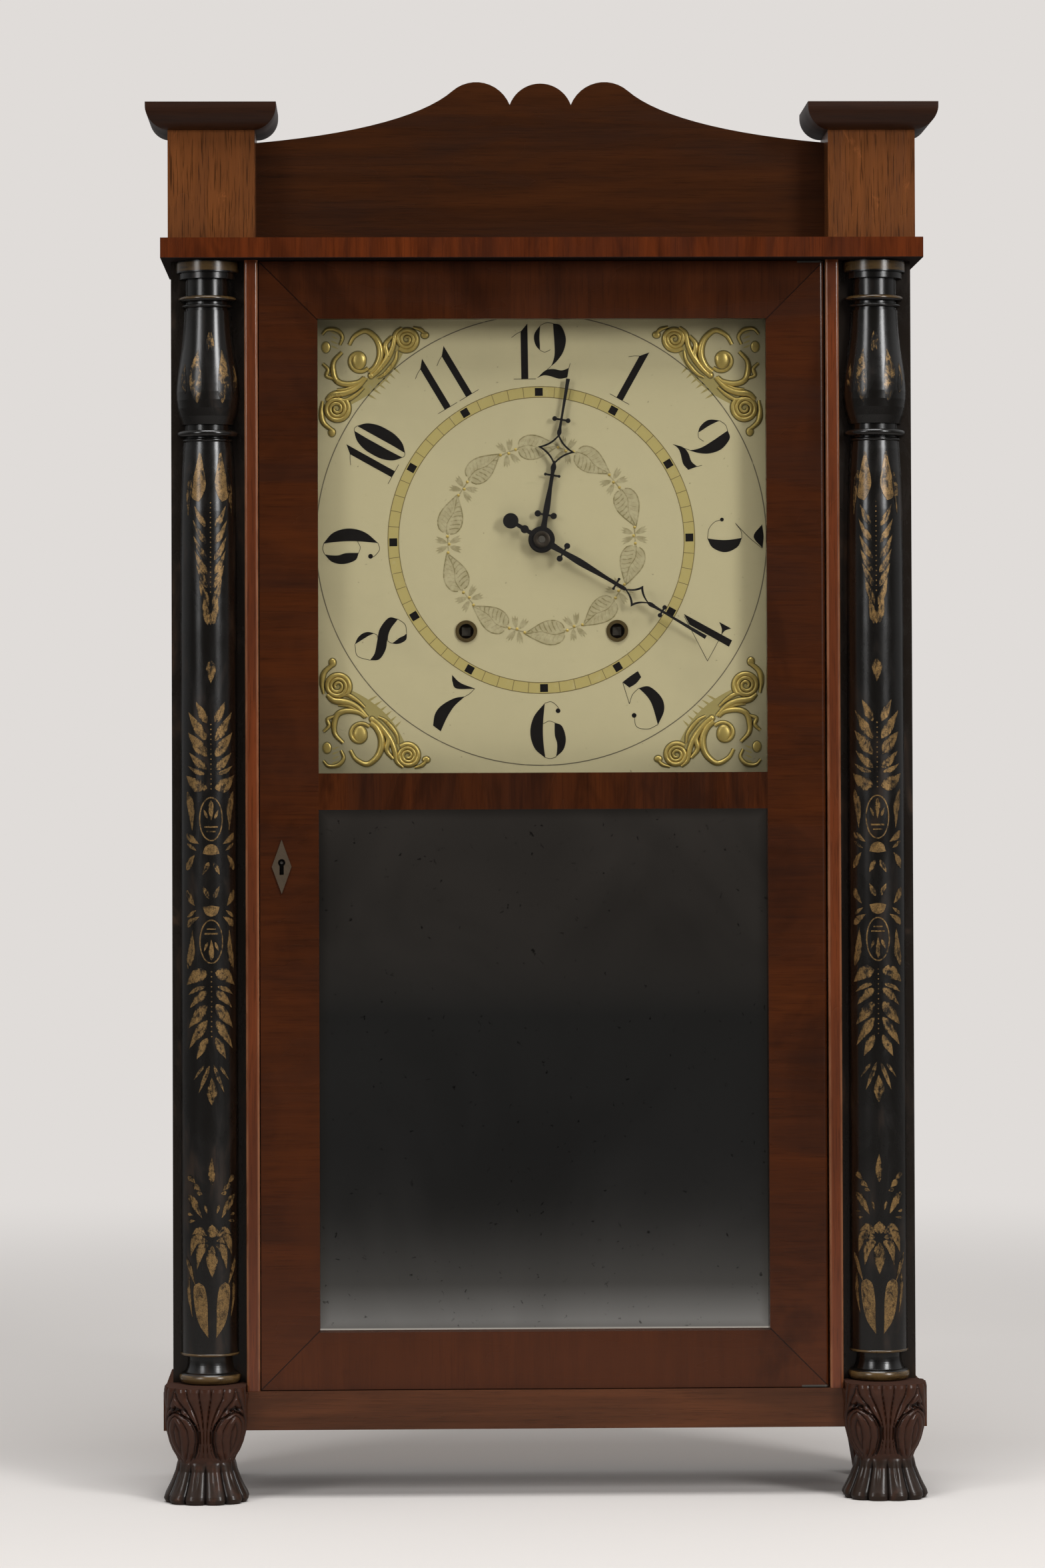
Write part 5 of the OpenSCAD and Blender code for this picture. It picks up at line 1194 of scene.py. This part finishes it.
def stencil_shapes(shift):
    """Bronze shapes of one column, unrolled, with their middle line moved sideways by a shift.

    Each shape is a pair of edges and how thick the powder lies along it. What belongs to the
    large figure is added twice, the second time turned over.
    """
    shapes = []

    def add(edges, values, over=False):
        shapes.append((tuple(e + (shift, 0) for e in edges), values))
        if over:
            shapes.append((tuple(e * (1, -1) + (shift, 2 * ROSETTE) for e in edges), values))

    def leaf(points, width, over=False, start=0.55, finish=1.0):
        """A leaf whose powder thins towards both edges and is worn off along its middle vein."""
        across = np.array([0.45, 1.0, 0.72, 1.0, 0.45])
        across = np.append(across, across[::-1])
        add(blade(points, width, 0.75, 14), np.linspace(start, finish, 15)[:, None] * across, over)

    def beads(low, high, over=False):
        for z in np.arange(low, high, 3.1):
            add(oval(0, z, 0.45, 0.45, 6), 0.7, over)

    for group, over, start, full in (
            (TOP_LEAVES, False, 0.3, 0.65), (FEATHER, False, 0.5, 0.9), (PALMETTE, True, 0.6, 1.0),
            (SPRIGS, False, 0.5, 0.9), (DAISY, False, 0.6, 1.0)):
        for width, *flat in group:
            points = np.reshape(flat, (-1, 2))
            leaf(points, width, over, start, full)
            leaf(points * (-1, 1), width, over, start, full)
    for inner, outer in EDGED:
        for way in (-1, 1):
            add([smooth(np.reshape(edge, (-1, 2)), 20) * (way, 1) for edge in (inner, outer)],
                np.linspace(0.6, 1, 21))
    for width, *flat in MIDDLE_LEAVES:
        in_large_figure = 400 < flat[1] < 524
        leaf(np.reshape(flat, (-1, 2)), width, in_large_figure)
    beads(566, 622)
    beads(443, 484, True)
    # Oval frame with an acorn in it, and the rosette's halves
    ring = np.array([(7.2 * math.sin(a), 424.2 + 13.4 * math.cos(a))
                     for a in np.linspace(0, math.tau, 49)])
    for part in (ring[:25], ring[24:]):
        add(edges_of(part, 0.8), 0.7, True)
    for side in (-1, 1):
        leaf([(2.2 * side, 424.5), (4.6 * side, 430.2)], 1.9, True)
        leaf([(1.4 * side, 397.4), (5.4 * side, 389.4)], 3.4, True, 0.4, 0.8)
    for half, z, width in ((4.2, 419.3, 1.0), (2.8, 416.4, 0.8)):
        add(edges_of(np.array([(-half, z), (0, z), (half, z)]), width), 0.7, True)
    cup = [(-5.2, 402.8), (-3.6, 407), (0, 408.6), (3.6, 407), (5.2, 402.8)]
    add((smooth(cup, 12), smooth([(-5.2, 402.6), (0, 401.8), (5.2, 402.6)], 12)), 0.85, True)
    return shapes


class CLOCK_OT_columns(bpy.types.Operator):
    """Paints the columns and boards black and lays the bronze stencils on the columns"""

    bl_idname = "clock.stencil_columns"
    bl_label = "Stencil the columns"

    def execute(self, context):
        paints = context.scene.clock_paints
        foot, top = (corner.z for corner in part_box("column_left"))
        bands = [(foot + 0.0030, 0.0030, 0.45), (foot + 0.0186, 0.0008, 0.35),
                 (top - 0.0235, 0.0009, 0.35), (top - 0.004, 0.003, 0.3)]
        dress(black_gloss("column_black", paints.black, paints.bronze, bands),
              "column_left", "column_right")
        dress(black_gloss("board_black", paints.board, paints.bronze, rub=0.7, coat=0.0),
              "pilasters")
        powder = bronze_powder("bronze_powder", paints.bronze, paints.black)
        for side, shift in (("left", 2.0), ("right", -1.0)):
            turning = Turning("column_" + side)
            shells = [sheet(edges, turning.place, front=0.14, back=-0.1, across=4, values=values)
                      for edges, values in stencil_shapes(shift)]
            piece("stencil_" + side, shells, "case", powder)
        return {"FINISHED"}


# Outline of a foot: heights, of which FOOT_UNITS make a foot, and shares of its half width
FOOT_UNITS = 74.5
NECK = 27
FOOT_HEIGHTS = [0, 2.5, 5, 9, 14, 20, 26, 29, 33, 38, 45, 52, 58, 61, 67, 72, FOOT_UNITS]
FOOT_REACH = [0.95, 1, 0.975, 0.90, 0.815, 0.73, 0.68, 0.70, 0.79, 0.865, 0.93, 0.96, 0.955,
              0.95, 0.985, 0.99, 0.97]


def flutes(position, depth):
    """Depth taken off between round ribs: a half circle over each step, with sharp valleys."""
    q = np.mod(position, 1) * 2 - 1
    return depth * (1 - np.sqrt(1 - 0.96 * q ** 2))


def rising(value, start, full):
    """Share that rises from nought at the start to one at full; full may be the lower one."""
    return np.clip((value - start) / (full - start), 0, 1)


def hump(value, middle, width):
    """One in the middle, and less to both sides of it: a normal curve."""
    return np.exp(-((value - middle) / width) ** 2)


def foot_surface(side):
    """Carved foot as one closed surface over an angle and a height.

    Its outline comes from the turned profile times a rounded square, and the carving is
    taken off it: toes below the neck, a leaf round each corner with flutes that follow its
    edge, and between the leaves a fan of ribs that opens to the top. Behind the slab's
    front plane the surface is held back to the slab, and above the slab to the case.
    The shade value is low in the valleys.
    """
    low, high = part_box("foot_front_" + side)
    way = -1 if side == "left" else 1
    half_x, half_y = (high.x - low.x) / 2, SLAB_LOW.y - low.y
    under, over, case = SLAB_LOW.z, SLAB_HIGH.z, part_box("column_left")[1].y
    room = abs(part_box("door_strip_right")[1].x) + 0.0003
    below, beside, above = 100, 60, 14
    z = np.concatenate([np.linspace(0, under, below), np.linspace(under, over, beside),
                        np.linspace(over, high.z, above)])[:, None]
    zone = np.repeat([0, 1, 2], [below, beside, above])[:, None]
    h = z / high.z * FOOT_UNITS
    a = round_angles(336)[None, :]
    t = (np.mod(a + math.pi / 4, math.pi / 2) - math.pi / 4) / (math.pi / 4)
    plan = (np.abs(np.cos(a)) ** 2.5 + np.abs(np.sin(a)) ** 2.5) ** -0.4
    # Toes: twelve round ones, each split by a shallow groove near the neck
    groove = 0.03 * np.exp(-(h - 17) ** 2 / 40) * hump(np.sin(6 * a - math.pi / 2), 0, 0.25)
    cut = rising(h, 27.5, 20.5) * (flutes(12 * a / math.tau, 0.13) + groove)
    # Leaves: everything beyond the edge, on both sides of a face's middle
    edge = np.interp(h, [NECK, 30, 33, 40, 47, 51.7, 55, 57.5, 59.5],
                     [0.62, 0.48, 0.38, 0.27, 0.275, 0.375, 0.52, 0.75, 1.06])
    past = np.abs(t) - edge
    leaf = rising(past, 0, 0.05) * rising(h, 26.5, 28.5) * rising(h, 60, 59)
    ribs = flutes(3.6 * np.clip(past, 0, 2) ** 0.75 + 0.5, 0.075)
    cut = cut + leaf * (0.03 * rising(past, 0.3, 0) ** 2 + ribs)
    # Deep groove round the leaves, where their edges stand free
    cut = cut + 0.075 * hump(past, -0.035, 0.05) * rising(h, NECK, 30) * rising(h, 62, 60)
    cut = cut + 0.055 * hump(h, 60.8, 1.3) * rising(np.abs(t), 0.5, 0.8)
    # Fan: ribs across the opening between the leaves, and a groove at the neck
    opening = np.interp(h, [NECK, 33, 40, 47, 52, 57, 62, 68, FOOT_UNITS],
                        [0.62, 0.38, 0.27, 0.28, 0.36, 0.5, 0.68, 0.9, 1.0])
    depth = (1 - leaf) * rising(h, 27.5, 29.5) * np.interp(h, [28, 40, 60, FOOT_UNITS],
                                                           [0.5, 0.8, 1, 0.8])
    cut = cut + depth * flutes(2.5 * t / opening + 0.5, 0.10) + 0.02 * hump(h, 26.8, 1.2)
    s = np.interp(h, FOOT_HEIGHTS, FOOT_REACH) * (1 - cut) * plan
    x = (low.x + high.x) / 2 + half_x * s * np.cos(a)
    y = SLAB_LOW.y + half_y * s * np.sin(a)
    y = np.where(zone == 1, np.minimum(y, SLAB_LOW.y), np.where(zone == 2, np.minimum(y, case), y))
    x = np.where(zone == 2, way * np.maximum(way * x, room), x)
    return loft(np.stack([x, y, z + 0 * a], -1), np.clip(1 - cut / 0.09, 0, 1))


class CLOCK_OT_feet(bpy.types.Operator):
    """Builds the two carved front feet"""

    bl_idname = "clock.carve_feet"
    bl_label = "Carve the feet"

    def execute(self, context):
        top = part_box("foot_front_left")[1].z
        varnish = carved_varnish("carved_varnish", context.scene.clock_woods.foot,
                                 top * NECK / FOOT_UNITS, top - 0.0003)
        for side in SIDES:
            piece("carved_foot_" + side, [foot_surface(side)], "case", varnish,
                  ["foot_front_" + side])
        return {"FINISHED"}


class CLOCK_OT_cords(bpy.types.Operator):
    """Hangs the two twisted cords on which the weights hang"""

    bl_idname = "clock.hang_cords"
    bl_label = "Hang the cords"

    def execute(self, context):
        material = twisted_cord("drop_cord")
        rows, sides = 900, 12
        lay = 0.0035  # Height in which a third of a turn brings the next strand round
        for side in SIDES:
            low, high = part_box("cord_drop_" + side)
            x, y, radius = (low.x + high.x) / 2, (low.y + high.y) / 2, (high.x - low.x) / 2
            z = np.linspace(low.z, high.z, rows)[:, None]
            a = round_angles(sides)[None, :]
            # Round section whose edge swells three times, once for each strand, and turns
            r = radius * (0.90 + 0.10 * np.cos(3 * a - math.tau * (z - low.z) / lay))
            rings = np.stack([x + r * np.cos(a), y + r * np.sin(a), z + 0 * a], -1)
            cord = piece("drop_cord_" + side, [loft(rings)], "case", material,
                         ["cord_drop_" + side])
            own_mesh(cord)
        return {"FINISHED"}


# ---- Stage ----------------------------------------------------------------------------


class CLOCK_OT_stage(bpy.types.Operator):
    """Builds the floor, background, lamps and camera"""

    bl_idname = "clock.build_stage"
    bl_label = "Build the stage"

    def execute(self, context):
        scene, stage = context.scene, context.scene.clock_stage
        scene.view_settings.view_transform = "Standard"
        self.floor(scene, stage)
        self.world(scene, stage)
        middle = Vector((0, 0, 0.45))
        for name, place, width, height, power in (
                ("lamp_right", (1.75, -2.2, 1.55), 0.7, 1.2, stage.key),
                ("lamp_left", (-1.85, -2.1, 1.4), 0.7, 1.2, stage.rim),
                ("lamp_top", (0.0, -0.8, 2.6), 1.6, 1.2, stage.top)):
            lamp = bpy.data.lights.new(name, "AREA")
            lamp.shape, lamp.size, lamp.size_y, lamp.energy = "RECTANGLE", width, height, power
            made = bpy.data.objects.new(name, lamp)
            made.location = place
            made.rotation_euler = (middle - Vector(place)).to_track_quat("-Z", "Y").to_euler()
            scene.collection.objects.link(made)
        self.camera(scene, stage)
        return {"FINISHED"}

    def floor(self, scene, stage):
        """Flat disc of rings. It fades into the background far from the clock.

        In polished surfaces it is darker, and dim where it has faded.
        """
        r = np.array([0.0001, 0.5, 1.0, 2.0, 4.0, 9.0])[:, None]
        sides, below = 64, 0.0002
        a = round_angles(sides)[None, :]
        points = np.stack([r * np.cos(a), r * np.sin(a), 0 * (r + a) - below], -1).reshape(-1, 3)
        faces = grid_quads(len(r), sides).tolist() + [list(range(sides))]
        mesh = bpy.data.meshes.new("floor")
        mesh.from_pydata(points.tolist(), [], faces)
        ground = bpy.data.objects.new("floor", mesh)
        scene.collection.objects.link(ground)
        finish = Finish("floor_paper", Specular_IOR_Level=0.2)
        x, y, _ = finish.axes()
        seen, glossy = (finish.value("LightPath", output=f"Is {kind} Ray")
                        for kind in ("Camera", "Glossy"))
        paper = finish.mix(finish.noise(3, 3, 0.5), times(stage.ground, 0.97), stage.ground)
        finish.done(finish.mix(glossy, paper, times(stage.ground, 0.4)), 0.9)
        glow = finish.value("Emission", {"Color": stage.background, "Strength": seen * 0.88 + 0.12})
        near, far = 0.7, 2.2  # Distances between which the floor fades, in metres
        faded = finish.spread(finish.distance(x, y), near, far)
        both = finish.value("MixShader", (faded, Value(finish, finish.shader.outputs[0]), glow))
        finish.join(finish.tree.nodes["Material Output"].inputs["Surface"], both)
        mesh.materials.append(finish.material)

    def world(self, scene, stage):
        """Pale background for the eye; the rest is lit from the sides, from above and from behind.

        The room in front of the clock is dim, so that black and polished surfaces stay deep.
        """
        world = bpy.data.worlds.new("studio")
        scene.world = world
        world.use_nodes = True
        nodes = Nodes(world.node_tree)
        _, depth, height = nodes.split(nodes.value("TexCoord", output="Generated"))
        strength = (nodes.spread(depth, -0.6, 0.15, stage.front, stage.fill)
                    * nodes.spread(height, -0.05, 0.4, 0.4, 1.0))
        fill = nodes.value("Background", {"Color": (1, 1, 1), "Strength": strength})
        eye = nodes.value("Background", {"Color": stage.background})
        seen = nodes.math("MAXIMUM", *(nodes.value("LightPath", output=f"Is {kind} Ray")
                                       for kind in ("Camera", "Transmission")))
        nodes.join(nodes.tree.nodes["World Output"].inputs["Surface"],
                   nodes.value("MixShader", (seen, fill, eye)))

    def camera(self, scene, stage):
        """Camera at the photograph's angle: turned 1.22 degrees right, 1.02 up and 0.2 over.

        Its shift puts the clock where it stands in the photograph.
        """
        yaw, pitch, roll = math.radians(1.22), math.radians(-1.02), math.radians(-0.20)
        right = Vector((math.cos(yaw), -math.sin(yaw), 0))
        ahead = Vector((math.sin(yaw) * math.cos(pitch), math.cos(yaw) * math.cos(pitch),
                        -math.sin(pitch)))
        back = -ahead
        up = back.cross(right)
        across = right * math.cos(roll) + up * math.sin(roll)
        upright = up * math.cos(roll) - right * math.sin(roll)
        lens = bpy.data.cameras.new("camera")
        lens.lens, lens.sensor_width = stage.lens, 36
        lens.shift_x, lens.shift_y = 0.0204, -0.0591
        lens.clip_end = 100
        made = bpy.data.objects.new("camera", lens)
        scene.collection.objects.link(made)
        turn = Matrix((across, upright, back)).transposed().to_4x4()
        made.matrix_world = Matrix.Translation(stage.place) @ turn
        scene.camera = made


# ---- Add-on ---------------------------------------------------------------------------

GROUPS = {"clock_woods": ClockWoods, "clock_paints": ClockPaints,
          "clock_dial": ClockDialSizes, "clock_stage": ClockStage}
STEPS = (CLOCK_OT_case, CLOCK_OT_door, CLOCK_OT_movement, CLOCK_OT_dial, CLOCK_OT_numerals,
         CLOCK_OT_wreath, CLOCK_OT_corners, CLOCK_OT_hands, CLOCK_OT_columns, CLOCK_OT_feet,
         CLOCK_OT_cords, CLOCK_OT_stage)


class CLOCK_PT_panel(bpy.types.Panel):
    """Lists the clock's steps and settings"""

    bl_idname = "CLOCK_PT_panel"
    bl_label = "Shelf clock"
    bl_space_type = "VIEW_3D"
    bl_region_type = "UI"
    bl_category = "Clock"

    def draw(self, context):
        for step in STEPS:
            self.layout.operator(step.bl_idname)
        for name, group in GROUPS.items():
            box = self.layout.box()
            for setting in group.__annotations__:
                box.prop(getattr(context.scene, name), setting)


def register():
    for group in GROUPS.values():
        bpy.utils.register_class(group)
    for name, group in GROUPS.items():
        setattr(bpy.types.Scene, name, bpy.props.PointerProperty(type=group))
    for item in (*STEPS, CLOCK_PT_panel):
        bpy.utils.register_class(item)


def unregister():
    for item in (CLOCK_PT_panel, *reversed(STEPS)):
        bpy.utils.unregister_class(item)
    for name, group in GROUPS.items():
        delattr(bpy.types.Scene, name)
        bpy.utils.unregister_class(group)


def main():
    register()
    for step in STEPS:
        family, name = step.bl_idname.split(".")
        getattr(getattr(bpy.ops, family), name)()


if __name__ == "__main__":
    main()
